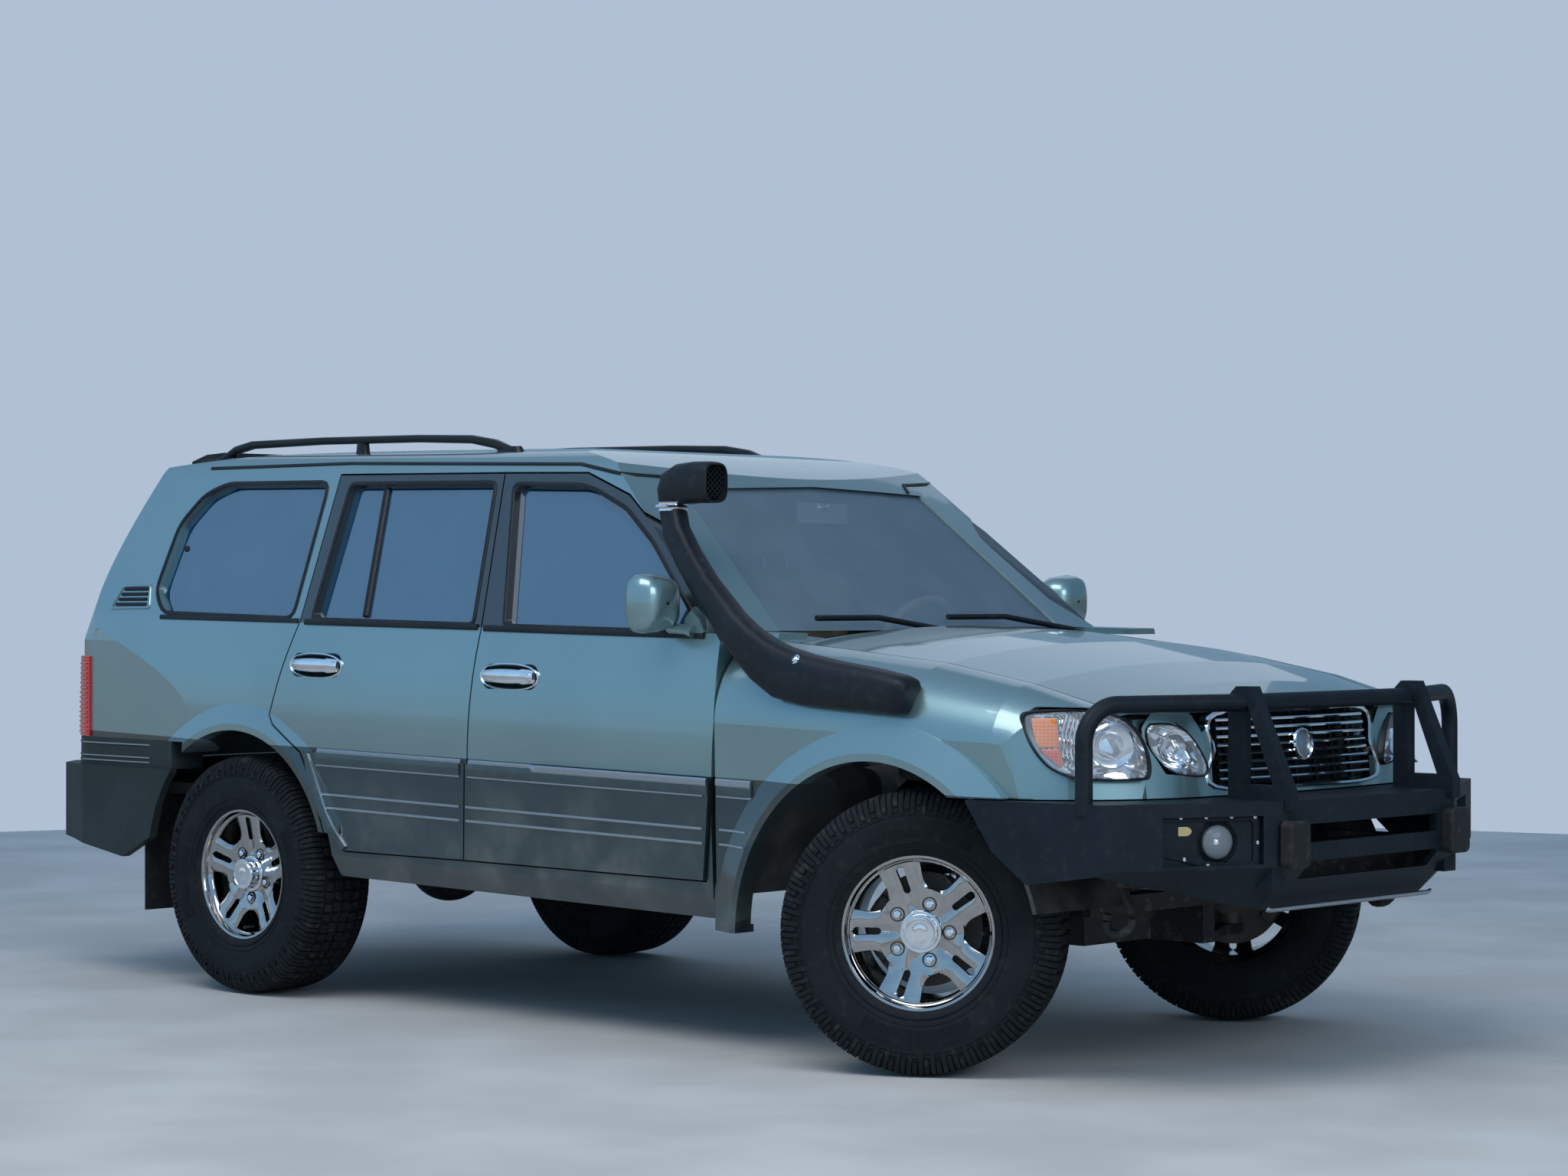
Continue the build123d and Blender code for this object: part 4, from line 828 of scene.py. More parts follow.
class WAGON_OT_wheels(bpy.types.Operator):
    """Tyres with their tread, and bright wheels with their nuts and caps"""
    bl_idname = "wagon.wheels"
    bl_label = "Wheels"

    def execute(self, context):
        tyre = tyre_form()
        for ending, centre, outward, turn, reach in WHEELS:
            place = wheel_place(centre, outward, turn)
            body = f"wheel_{ending}"
            piece(f"tread_{ending}", Form().join(tyre, place), body, "tyre", "tyre_tread", "tyre_wall",
                  replaces=[f"tyre_{ending}"], crease=32)
            piece(f"wheel_{ending}", Form().join(rim_form(reach), place), body, "wheel_alloy",
                  "wheel_alloy", "bright_trim", "satin_black", "rubber", replaces=[f"rim_{ending}"],
                  crease=38)
        low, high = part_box("spare_wheel")
        spare = Matrix.Translation((low + high) / 2) @ Matrix.Rotation(pi, 4, "X")
        whole = Form().join(tyre, spare)
        whole.join(rim_form(82), spare, kind=2)
        piece("spare_tyre", whole, "root", "tyre", "tyre_tread", "tyre_wall", "dark_alloy",
              replaces=["spare_wheel"], crease=32)
        return {"FINISHED"}


# Front: lamps, grille and bumper

LAMP_EDGE = [  # outline of the outer lamp as seen from straight ahead and beside: x, y, z in mm
    (1884, -872, 1006), (1888, -872, 975), (1904, -868, 935), (1930, -860, 896), (1962, -845, 864),
    (2005, -818, 844), (2050, -780, 836), (2094, -728, 835), (2128, -672, 836), (2136, -650, 842),
    (2134, -640, 872), (2124, -642, 915), (2106, -652, 958), (2082, -672, 990), (2048, -706, 1012),
    (2000, -762, 1021), (1950, -815, 1020), (1905, -855, 1016),
]
INNER_EDGE = [
    (2105, -611, 978), (2108, -622, 950), (2116, -612, 912), (2134, -576, 868), (2146, -532, 846),
    (2164, -462, 838), (2172, -436, 842), (2173, -430, 862), (2166, -446, 900), (2152, -480, 948),
    (2136, -520, 975), (2118, -570, 984),
]


def shrunk(outline, share, push):
    """An outline drawn in towards its middle, and moved along the way that push gives, in mm."""
    middle = sum((Vector(p) for p in outline), Vector()) / len(outline)
    return [middle + (Vector(p) - middle) * share + Vector(push) for p in outline]


def dense(outline, parts=3):
    """A closed outline with more points, on a smooth curve through the given ones."""
    points = [Vector(p) for p in outline]
    out = []
    for i, b in enumerate(points):
        a, c, d = points[i - 1], points[(i + 1) % len(points)], points[(i + 2) % len(points)]
        for k in range(parts):
            t = k / parts
            out.append(0.5 * ((2 * b) + (c - a) * t + (2 * a - 5 * b + 4 * c - d) * t * t
                              + (3 * b - a - 3 * c + d) * t ** 3))
    return out


def lamp(name, outline, push, bowls):
    """A lamp: black seal, clear cover with a crown, deep bright bowl, and what stands inside."""
    edge = dense(outline, 3)
    back = Vector(push)
    out = -back.normalized()
    seal = Form()
    rings = []
    for share, depth in ((1.028, 14), (1.03, -3), (1.015, -5.5), (0.975, -4), (0.965, 8)):
        rings.append([at(*p) for p in shrunk(edge, share, -out * depth)])
    seal.loft(rings, caps=False)
    both(f"{name}_seal_{{}}", seal, "root", "rubber", "satin_black")
    cover = Form()
    rings = []
    for share, crown in ((0.972, 0), (0.95, 5), (0.86, 9), (0.6, 13), (0.3, 15), (0.02, 15.5)):
        rings.append([at(*p) for p in shrunk(edge, share, out * (crown - 2))])
    cover.loft(rings, caps=False)
    both(f"{name}_cover_{{}}", cover, "root", "lamp_glass", "lamp_glass")
    bowl = Form()
    rings = []
    for share, depth in ((0.966, 2), (0.94, 16), (0.86, 48), (0.7, 70), (0.4, 84), (0.02, 88)):
        rings.append([at(*p) for p in shrunk(edge, share, -out * depth)])
    bowl.loft(rings, caps=False)
    for centre, radius, kind in bowls:
        place = facing(at(*centre), out)
        r = radius / 1000
        if kind == "round":
            bowl.around([(r * 1.0, -0.01), (r * 1.03, 0.004), (r * 0.96, 0.008), (r * 0.9, -0.004),
                         (r * 0.62, -0.022), (r * 0.60, -0.004), (r * 0.55, 0.002)], place, 40)
            bowl.around([(r * 0.56, 0.0), (r * 0.5, 0.012), (r * 0.38, 0.021), (r * 0.2, 0.026),
                         (0.0002, 0.028)],
                        place, 32, kind=1)
        elif kind == "ribs":
            for rib in range(7):
                lean = (rib - 3) * 0.0115
                path = [place @ Vector((lean + 0.012 * s * s, 0.075 * s, -0.02 + 0.004 * abs(s))) for s in
                        (-1, -0.5, 0, 0.5, 1)]
                bowl.tube(path, 0.0042, 6)
    both(f"{name}_bowl_{{}}", bowl, "root", "lamp_glass", "lamp_bowl", "lamp_glass", replaces=["headlamps"])


class WAGON_OT_front(bpy.types.Operator):
    """Lamps, grille, and the fittings of the front bumper"""
    bl_idname = "wagon.front"
    bl_label = "Front"

    def execute(self, context):
        lamp("headlamp", LAMP_EDGE, (-0.8, 0.6, 0.1), (((2062, -715, 925), 62, "round"),
                                                       ((1995, -782, 940), 40, "ribs")))
        lamp("inner_lamp", INNER_EDGE, (-0.9, 0.35, 0.1), (((2120, -520, 915), 40, "round"),))
        self.indicator()
        self.grille()
        self.bumper()
        return {"FINISHED"}

    def indicator(self):
        """Two coloured blocks behind the outer end of the cover."""
        for name, kind, low, high in (("amber", "amber_lens", 920, 1000),
                                      ("orange", "orange_lens", 862, 917)):
            form = Form()
            rings = []
            for depth in (0, 1):
                ring = []
                for u, z in ((0, low), (1, low), (1, (low + high) / 2), (1, high), (0.5, high), (0, high)):
                    slope = (z - 850) / 160
                    x = 1898 + 26 * (1 - slope) + u * (52 + 8 * slope)
                    if name == "orange" and u == 0 and z == low:
                        x += 22
                    y = -868 + (x - 1898) * 0.62 + depth * 10
                    ring.append(at(x + depth * -4, y + 6, z))
                rings.append(ring)
            form.loft(rings)
            both(f"{name}_block_{{}}", form, "root", "lamp_glass", kind, bevel=0.004)

    def grille(self):
        """Bright surround, eight bright-edged slats, uprights behind, and a plain ring in the middle."""
        outline = [(-402, 802), (-392, 905), (-372, 1008), (0, 1012), (372, 1008), (392, 905), (402, 802),
                   (0, 794)]
        spots = dense([(0, y, z) for y, z in outline], 6)

        def face(y, z, forward=0):
            return at(2204 - 0.000215 * y * y - (z - 795) * 0.148 + forward, y, z)

        frame_form = Form()
        rings = []
        for share, forward in ((1.0, -18), (1.0, 4), (0.985, 7.5), (0.958, 4), (0.955, -18)):
            rings.append([face(p.y * share, 903 + (p.z - 903) * (1 - (1 - share) * 1.9), forward)
                          for p in spots])
        frame_form.loft(rings + [rings[0]], caps=False)
        piece("grille_surround", frame_form, "root", "bright_trim", "bright_trim")
        slats, edges = Form(), Form()
        for row in range(8):
            z = 826 + row * 23.2
            reach = 368 - (z - 802) * 0.05
            steps = [-reach + 2 * reach * i / 30 for i in range(31)]
            slats.loft([[face(y, z - 5, -26), face(y, z + 5, -26), face(y, z + 3.5, -4), face(y, z - 5, -5)]
                        for y in steps])
            edges.loft([[face(y, z - 4.8, -6), face(y, z + 3.2, -6), face(y, z + 2.6, -1),
                         face(y, z - 0.8, 0.5), face(y, z - 4.6, -1)] for y in steps])
        for y in (-300, -200, -100, 0, 100, 200, 300):
            slats.loft([[face(y - 4, z, -42), face(y + 4, z, -42), face(y + 4, z, -27), face(y - 4, z, -27)]
                        for z in (808, 900, 1003)])
        piece("grille_slats", slats, "root", "bright_trim", "satin_black", replaces=["grille"], bevel=0.0012)
        piece("slat_edges", edges, "root", "bright_trim", "bright_trim")
        mesh = Form()
        mesh.loft([[face(-378, 804, -48), face(378, 804, -48), face(378, 804, -44), face(-378, 804, -44)],
                   [face(-366, 1006, -48), face(366, 1006, -48), face(366, 1006, -44),
                    face(-366, 1006, -44)]])
        piece("grille_back", mesh, "root", "black_plastic", "satin_black")
        place = facing(face(0, 912, 1), Vector((1, 0, 0.148)))
        badge = Form()
        ring = [(0.0440, -0.004), (0.0460, 0.0035), (0.0435, 0.0085), (0.0395, 0.009), (0.0365, 0.0045),
                (0.0355, -0.004)]
        badge.around(ring, place, 64, closed=True)
        badge.around([(0.0350, -0.004), (0.0350, 0.001), (0.030, 0.0022), (0.015, 0.0042), (0.0002, 0.0048)],
                     place, 48, kind=1)
        piece("plain_disc", badge, "root", "bright_trim", "bright_trim", "brushed_lip")

    def bumper(self):
        """Recess plates with their bolts and lamps, lip strip, slots and tow hooks."""
        out = Vector((0.8875, -0.4608, 0))
        along = Vector((0.4608, 0.8875, 0))
        corner = at(2403, -415, 672)

        def spot(reach, z, forward):
            """reach is how far from the inner end of the wing face, outwards."""
            return corner + (-along * reach + out * forward) / 1000 + Vector((0, 0, (z - 672) / 1000))

        plate = Form()
        shape = [(72, 745), (372, 745), (392, 728), (386, 668), (352, 634), (214, 602), (78, 592), (64, 606),
                 (64, 732)]
        inner = [(90, 727), (366, 727), (376, 716), (371, 676), (345, 650), (210, 620), (94, 611), (84, 620),
                 (84, 718)]
        rings = [[spot(u, z, f) for u, z in ring] for ring, f in
                 ((shape, -3), (shape, 4), (inner, 5), ([(u, z) for u, z in inner], -16))]
        plate.loft(rings, caps=False)
        plate.add([spot(u, z, -16) for u, z in inner], [tuple(range(len(inner)))])
        both("lamp_plate_{}", plate, "root", "black_steel", "black_steel", bevel=0.002)
        bolts = Form()
        for u, z in ((80, 737), (150, 739), (225, 739), (300, 739), (372, 737), (384, 700), (368, 655),
                     (290, 628), (220, 610), (150, 601), (76, 601), (72, 668)):
            place = facing(spot(u, z, 4.5), out)
            bolts.around([(0.0062, -0.002), (0.0062, 0.0025), (0.0048, 0.0048), (0.0028, 0.0052),
                          (0.0024, 0.0035), (0.0002, 0.0035)], place, 12)
        both("plate_bolts_{}", bolts, "root", "bright_trim", "bright_trim")
        place = facing(spot(190, 672, -14), out)
        fog = Form()
        fog.around([(0.064, 0.0), (0.062, 0.012), (0.056, 0.018), (0.052, 0.014), (0.050, 0.020),
                    (0.047, 0.022), (0.045, 0.016)], place, 40, kind=0)
        fog.around([(0.0455, 0.017), (0.040, 0.026), (0.028, 0.033), (0.012, 0.0365), (0.0002, 0.037)],
                   place, 32, kind=1)
        fog.around([(0.044, 0.012), (0.030, -0.002), (0.012, -0.009), (0.0002, -0.01)], place, 32, kind=2)
        fog.around([(0.010, -0.008), (0.010, 0.012), (0.006, 0.016), (0.0002, 0.017)], place, 20, kind=2)
        both("fog_lamp_{}", fog, "root", "lamp_glass", "black_plastic", "lamp_glass", "lamp_bowl",
             replaces=["bumper_lamps"])
        side = Form()
        slot_line = [(268, 718), (352, 718), (364, 712), (369, 702), (364, 692), (352, 686), (268, 686),
                     (256, 692), (251, 702), (256, 712)]
        rings = []
        for share, f in ((1.0, -16), (1.0, -5), (0.95, -2), (0.75, 0)):
            rings.append([spot(310 + (u - 310) * share, 702 + (z - 702) * share, f) for u, z in slot_line])
        side.loft(rings, caps=False)
        side.add([spot(310 + (u - 310) * 0.75, 702 + (z - 702) * 0.75, 0) for u, z in slot_line],
                 [tuple(range(10))])
        both("side_lamp_{}", side, "root", "lamp_glass", "cream_lens", crease=60)
        hooks = Form()
        path = dense([(2020, -640, 560), (2060, -640, 505), (2075, -640, 455), (2050, -640, 418),
                      (2005, -640, 412), (1985, -640, 440), (1992, -640, 462), (1994, -640, 470)], 3)[:-4]
        hooks.tube([at(*p) for p in path], 0.013, 10)
        hooks.loft([[at(x, y, z) for x, y in ((2000, -668), (2110, -668), (2110, -612), (2000, -612))]
                    for z in (540, 585)])
        both("tow_hook_{}", hooks, "root", "frame_steel", "frame_steel", bevel=0.003)
        lip = Form()
        lip.loft([[at(2345 + dx, y, z + dz) for dx, dz in ((0, 0), (12, 4), (14, 14), (4, 16))]
                  for y, z in ((-404, 474), (-390, 470), (0, 470), (390, 470), (404, 474))])
        piece("lower_lip", lip, "root", "bright_trim", "brushed_lip", bevel=0.003)


# Sides: mouldings, seals, handles, mirrors

FRONT_WINDOW = ((-159, 1238), (-277, 1676), (20, 1668), (93, 1652), (250, 1590), (400, 1485), (620, 1285),
                (690, 1224))
REAR_WINDOW = ((-312, 1240), (-375, 1682), (-1074, 1692), (-1088, 1252))
QUARTER_WINDOW = ((-1200, 1255), (-1200, 1700), (-1732, 1706), (-1842, 1670), (-1935, 1570), (-1965, 1345),
                  (-1893, 1270))
HANDLES = (("front", -105, 1078), ("rear", -1035, 1098))
SIDE_LINES = (  # ending, slot, finish, lines of (z, x where it holds, fall, width, height), end insets
    ("moulding", "bright_trim", "brushed_lip", ((806, -302, 0.0174, 0.024, 0.009),
                                                (765, -310, 0.0165, 0.007, 0.004)), 0, 0),
    ("ribs", "body_paint", "brushed_lip", ((670, -302, 0.0182, 0.008, 0.0035),
                                           (627, -302, 0.0177, 0.008, 0.0035)), 8, 6),
    ("band", "body_paint", "lower_paint", ((786, -302, 0.017, 0.038, 0.006),), 0, 0),
)
SILL_SEALS = (  # panel, body, both ends, width, height
    ("front", "door_front_{}", ((-250, 1226), (706, 1211)), 0.020, 0.007),
    ("rear", "door_rear_{}", ((-282, 1229), (-1122, 1240)), 0.020, 0.007),
    ("quarter", "root", ((-1160, 1243), (-1900, 1252)), 0.016, 0.006),
)


def rounded(outline, radius):
    """A closed outline of (x, z) with its corners drawn as short arcs."""
    out = []
    for i, p in enumerate(outline):
        p, a, b = Vector(p), Vector(outline[i - 1]), Vector(outline[(i + 1) % len(outline)])
        before, after = (a - p), (b - p)
        r = min(radius, before.length * 0.45, after.length * 0.45)
        first, last = p + before.normalized() * r, p + after.normalized() * r
        for t in (0, 0.33, 0.67, 1):
            out.append(first.lerp(p, t).lerp(p.lerp(last, t), t))
    return out


class WAGON_OT_sides(bpy.types.Operator):
    """Mouldings, window seals, handles and mirrors of both sides"""
    bl_idname = "wagon.sides"
    bl_label = "Sides"

    def execute(self, context):
        front = Skin("front_door_right")
        rear = Skin("rear_door_right")
        body = Skin("body_side_right", "front_wing_right", "roof_panel")
        self.mouldings(front, rear, body)
        self.windows(front, rear, body)
        self.handles()
        self.mirrors()
        self.vent(body)
        self.roof_lines(body)
        return {"FINISHED"}

    def mouldings(self, front, rear, body):
        """The bright line over the cladding and the ribs below it."""
        panels = (("front_door", front, "door_front_{}", -296, 766),
                  ("rear_door", rear, "door_rear_{}", -1010, -312), ("wing", body, "root", 790, 930))
        for name, skin, rider, x0, x1 in panels:
            for ending, slot, finish, lines, behind, before in SIDE_LINES:
                form = Form()
                for z, hold, fall, width, height in lines:
                    skin.ribbon(form, [(x0 + behind, z - (x0 - hold) * fall),
                                       (x1 - before, z - (x1 - hold) * fall)],
                                width, height)
                both(f"{name}_{ending}_{{}}", form, rider, slot, finish)

    def windows(self, front, rear, body):
        """Rubber round each window, the sill seals, the division bar and a knob on the quarter window."""
        for name, skin, rider, outline, r in (("front", front, "door_front_{}", FRONT_WINDOW, 22),
                                              ("rear", rear, "door_rear_{}", REAR_WINDOW, 22),
                                              ("quarter", body, "root", QUARTER_WINDOW, 40)):
            middle = sum((Vector(p) for p in outline), Vector((0, 0))) / len(outline)
            grown = [middle + (Vector(p) - middle) * 1.016 for p in rounded(outline, r)]
            seal = Form()
            skin.ribbon(seal, grown, 0.014, 0.004, closed=True, step=26)
            both(f"{name}_window_seal_{{}}", seal, rider, "rubber", "satin_black")
        for (name, rider, ends, width, height), skin in zip(SILL_SEALS, (front, rear, body)):
            sill = Form()
            skin.ribbon(sill, ends, width, height)
            both(f"{name}_sill_seal_{{}}", sill, rider, "rubber", "satin_black")
        bar = Form()
        glass = Skin("rear_door_glass_right")
        glass.ribbon(bar, [(-916, 1696), (-849, 1238)], 0.026, 0.012)
        both("division_bar_{}", bar, "door_rear_{}", "black_plastic", "satin_black")
        knob = Form()
        pane = Skin("quarter_glass")
        point, normal = pane.side(-1892, 1486)
        place = facing(point, normal)
        knob.around([(0.011, -0.001), (0.011, 0.003), (0.008, 0.007), (0.003, 0.008), (0.0002, 0.008)],
                    place, 20)
        both("quarter_knob_{}", knob, "root", "black_plastic", "satin_black")

    def handles(self):
        """An oval dish with a bright rim, a bright flap across it and a lock barrel."""
        for name, x, z in HANDLES:
            skin = Skin(f"{name}_door_right")
            point, _ = skin.side(x - 160, z)
            across = Vector((1, 0, -0.01)).normalized()
            y0 = point.y
            form = Form()
            half, high = 0.131, 0.040
            count = 48

            def oval(scale, out):
                ring = []
                for k in range(count):
                    a = 2 * pi * k / count
                    c, s = cos(a), sin(a)
                    u = half * scale * (abs(c) ** 0.82) * (1 if c >= 0 else -1)
                    v = high * (1 - (1 - scale) * 2.6) * (abs(s) ** 0.9) * (1 if s >= 0 else -1)
                    ring.append(at(x, 0, z) + across * u + Vector((0, y0 - out, v)))
                return ring

            form.loft([oval(1.02, -0.004), oval(1.02, 0.003), oval(0.985, 0.0055), oval(0.95, 0.002)],
                      caps=False)
            form.loft([oval(0.95, 0.002), oval(0.9, -0.012), oval(0.72, -0.024), oval(0.3, -0.028),
                       oval(0.02, -0.028)],
                      caps=False, kind=1)
            flap = []
            for i in range(17):
                u = -1 + 2 * i / 16
                thick = 0.016 + 0.006 * (1 - u * u) + (0.004 if u > 0.6 else 0)
                out = 0.004 + 0.011 * (1 - abs(u) ** 3)
                centre = at(x, 0, z + 2) + across * (u * 0.112) + Vector((0, y0 - out, 0.0))
                flap.append([centre + Vector((0, 0.007 * sin(a), thick * cos(a))) for a in
                             [2 * pi * k / 12 for k in range(12)]])
            form.loft(flap)
            lock = Matrix.Translation(at(x + 98, 0, z - 1) + Vector((0, y0 - 0.012,
                                                                     0))) @ Matrix.Rotation(pi / 2, 4, "X")
            form.around([(0.012, -0.008), (0.012, 0.003), (0.009, 0.0045), (0.0002, 0.0045)], lock, 20)
            both(f"{name}_handle_{{}}", form, f"door_{name}_{{}}", "bright_trim", "bright_trim", "dark_alloy")

    def mirrors(self):
        """Rounded mirror heads on a short foot, with the glass set in from behind."""
        low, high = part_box("door_mirror_right")
        form = Form()
        count = 32
        stations = ((0.0, 0.90), (0.10, 0.97), (0.3, 1.0), (0.55, 0.97), (0.78, 0.86), (0.92, 0.66),
                    (0.985, 0.38), (1.0, 0.05))
        width, height, depth = 0.168, 0.172, 0.104
        centre = Vector((low.x + 0.062, low.y + 0.092, low.z + 0.100))
        rings = []
        for t, scale in stations:
            ring = []
            for k in range(count):
                a = 2 * pi * k / count
                c, s = cos(a), sin(a)
                u = width / 2 * scale * (abs(c) ** 0.55) * (1 if c >= 0 else -1)
                v = height / 2 * scale * (abs(s) ** 0.6) * (1 if s >= 0 else
                                                            -1) * (1 - 0.10 * (u / width * 2))
                ring.append(centre + Vector((depth * (t - 0.42), u - 0.004 * t, v)))
            rings.append(ring)
        form.loft(rings, caps=False)
        rim = [[centre + (p - centre) * s + Vector((dx, 0, 0)) for p in rings[0]] for s, dx in
               ((1.0, 0.0), (0.97, -0.004), (0.93, -0.002), (0.92, 0.012))]
        form.loft(rim, caps=False, kind=1)
        pane = [centre + (p - centre) * 0.93 + Vector((0.009, 0, 0)) for p in rings[0]]
        form.add(pane, [tuple(range(count))[::-1]], 2)
        foot_from = centre + Vector((0.012, width * 0.36, -height * 0.42))
        foot_to = Vector((high.x - 0.03, high.y - 0.012, low.z + 0.016))
        foot = [foot_from + (foot_to - foot_from) * t for t in (0, 0.3, 0.65, 1)]
        form.tube(foot, (0.030, 0.026, 0.024, 0.034), 16, flat=0.62)
        base = []
        for dy, grow in ((-0.006, 0.85), (0.006, 1.0), (0.03, 1.05)):
            base.append([Vector((foot_to.x + gx * grow, foot_to.y + dy, foot_to.z + gz * grow + 0.012))
                         for gx, gz in
                         ((-0.055, -0.024), (0.03, -0.026), (0.042, -0.01), (0.02, 0.03), (-0.02, 0.06),
                          (-0.05, 0.03))])
        form.loft(base, kind=0)
        both("mirror_head_{}", form, "door_front_{}", "body_paint", "body_paint", "satin_black", "mirror",
             replaces=["door_mirror_{}"], bevel=0.0, crease=50)

    def vent(self, body):
        """A louvred outlet behind the rear side window."""
        outline = [(-2196, 1280), (-2158, 1356), (-2006, 1360), (-1978, 1284)]
        edge = Form()
        body.ribbon(edge, rounded(outline, 10), 0.010, 0.005, closed=True, step=14)
        both("vent_edge_{}", edge, "root", "body_paint", "body_paint")
        louvres = Form()
        for row in range(4):
            z = 1294 + row * 17.5
            lean = (z - 1280) * 0.5
            body.ribbon(louvres, [(-2176 + lean, z), (-2000 - lean * 0.35, z + 1)], 0.011, 0.006, kind=0)
        both("vent_louvres_{}", louvres, "root", "black_plastic", "satin_black")

    def roof_lines(self, body):
        """The drip moulding along the roof's edge."""
        line = [(-1853, 1764), (-1119, 1764), (-357, 1744), (-8, 1735), (246, 1690), (391, 1584),
                (560, 1450), (720, 1312)]
        drip = Form()
        body.ribbon(drip, line, 0.012, 0.005)
        both("roof_moulding_{}", drip, "root", "rubber", "satin_black")


# Raised air intake and roof rails

INTAKE = (  # middle in mm, half height across the run, half depth outwards
    ((1524, -914, 1052), 36, 40), ((1516, -915, 1053), 48, 50), ((1490, -916, 1056), 55, 54),
    ((1400, -916, 1066), 61, 55), ((1260, -917, 1078), 67, 55), ((1140, -919, 1091), 73, 54),
    ((1050, -922, 1110), 76, 51), ((975, -923, 1146), 68, 47), ((910, -921, 1190), 57, 43),
    ((840, -914, 1243), 50, 40), ((700, -882, 1352), 45, 35), ((600, -852, 1440), 43, 33),
    ((528, -829, 1516), 41, 32), ((500, -815, 1572), 39, 33), ((494, -811, 1602), 39, 34),
)
HEAD = (  # middle x and z in mm, lean forward in degrees, half height, half depth
    ((494, 1598), 0, 36, 33), ((494, 1612), 4, 41, 37), ((497, 1630), 22, 50, 42), ((512, 1650), 52, 59, 48),
    ((545, 1660), 78, 62, 51), ((600, 1664), 88, 62, 52), ((655, 1663), 90, 62, 52),
    ((672, 1662), 90, 59, 50), ((674, 1662), 90, 53, 45), ((650, 1662), 90, 51, 43),
    ((560, 1658), 85, 45, 38),
)
RAIL = (  # along and height in mm, half height, half width
    ((-1962, 1784), 5, 14), ((-1935, 1800), 12, 18), ((-1862, 1832), 14, 19), ((-1775, 1847), 14, 18),
    ((-1400, 1850), 13, 17), ((-900, 1844), 13, 17), ((-640, 1834), 14, 18), ((-530, 1816), 15, 19),
    ((-462, 1794), 13, 18), ((-428, 1780), 5, 14),
)


def squared(middle, first, second, half, other, power=0.62, sides=28):
    """A ring with soft corners about middle, half along first and other along second, in mm."""
    ring = []
    for k in range(sides):
        c, s = cos(2 * pi * k / sides), sin(2 * pi * k / sides)
        u, v = (abs(w) ** power * (1 if w >= 0 else -1) for w in (c, s))
        ring.append(middle + first * (u * half / 1000) + second * (v * other / 1000))
    return ring


class WAGON_OT_intake(bpy.types.Operator):
    """Moulded air intake with its clamp, bolts and meshed head, and the roof rails"""
    bl_idname = "wagon.intake"
    bl_label = "Intake and rails"

    def execute(self, context):
        form = Form()
        spots = [at(*middle) for middle, _, _ in INTAKE]
        rings = []
        for i, (_, half, depth) in enumerate(INTAKE):
            along = (spots[min(i + 1, len(spots) - 1)] - spots[max(i - 1, 0)]).normalized()
            out = (Vector((0, -1, 0)) - along * -along.y).normalized()
            rings.append(squared(spots[i], along.cross(out), out, half, depth))
        form.loft(rings)
        rings = []
        for (x, z), lean, half, depth in HEAD:
            turn = radians(lean)
            rings.append(squared(at(x, -811, z), Vector((cos(turn), 0, -sin(turn))), Vector((0, -1, 0)),
                                 half, depth))
        form.loft(rings)
        for lift, grow in ((1586, 42), (1602, 42)):
            ring = [squared(at(494.5, -811.5, lift + dz), Vector((1, 0, 0)), Vector((0, -1, 0)), grow + g,
                            grow - 5 + g)
                    for dz, g in ((-5.5, -3), (-5, 0.8), (0, 0.2), (5, 0.8), (5.5, -3))]
            form.loft(ring, kind=1)
        form.tube([at(470, -856, 1594), at(514, -857, 1594)], 0.0055, 10, kind=1)
        for x, z, y in ((1010, 1180, -955), (1130, 1150, -962)):
            place = turned(at(x, y, z), 58, "X")
            form.around([(0.011, -0.006), (0.011, 0.003), (0.009, 0.005), (0.0002, 0.006)], place, 6, kind=1)
            form.around([(0.015, -0.006), (0.015, 0.0005), (0.0105, 0.001)], place, 20, kind=1)
        for slope in (-1, 1):
            for step in range(-7, 8):
                ends = []
                shift = step * 16.5
                for y, z in ((-42, 0), (42, 0)):
                    ends.append((y, slope * y * 0.85 + shift))
                (y0, z0), (y1, z1) = ends
                reach = 49
                points = [(y0 + (y1 - y0) * t / 24, z0 + (z1 - z0) * t / 24) for t in range(25)]
                points = [p for p in points if abs(p[1]) <= reach]
                if len(points) > 1:
                    form.tube([at(657 + slope * 0.8, -811 + points[0][0], 1662 + points[0][1]),
                               at(657 + slope * 0.8, -811 + points[-1][0], 1662 + points[-1][1])], 0.0019, 6,
                              kind=2)
        piece("intake", form, "root", "black_plastic", "black_plastic", "bright_trim", "satin_black",
              crease=46, replaces=["air_intake"])
        rail = Form()
        rings = []
        for i, ((x, z), half, wide) in enumerate(RAIL):
            (x0, z0), (x1, z1) = RAIL[max(i - 1, 0)][0], RAIL[min(i + 1, len(RAIL) - 1)][0]
            along = Vector((x1 - x0, 0, z1 - z0)).normalized()
            rings.append(squared(at(x, -592, z), along.cross(Vector((0, 1, 0))), Vector((0, 1, 0)), half,
                                 wide, 0.75, 20))
        rail.loft(rings)
        for x, long in ((-1925, 62), (-1190, 34), (-460, 58)):
            foot = []
            for z, share in ((1782, 1.12), (1792, 1.0), (1806, 0.82), (1838, 0.7) if x == -1190
                             else (1800, 0.8)):
                foot.append(squared(at(x, -592, z), Vector((1, 0, 0)), Vector((0, 1, 0)), long * share, 19
                                    * share, 0.75, 20))
            rail.loft(foot)
        both("roof_rail_{}", rail, "root", "black_plastic", "satin_black", crease=50, replaces=["roof_rails"])
        return {"FINISHED"}


# Tail: lamps, bumper, plate, hatch fittings

BACK = (1, 0, 0)                          # the way one looks at the tail


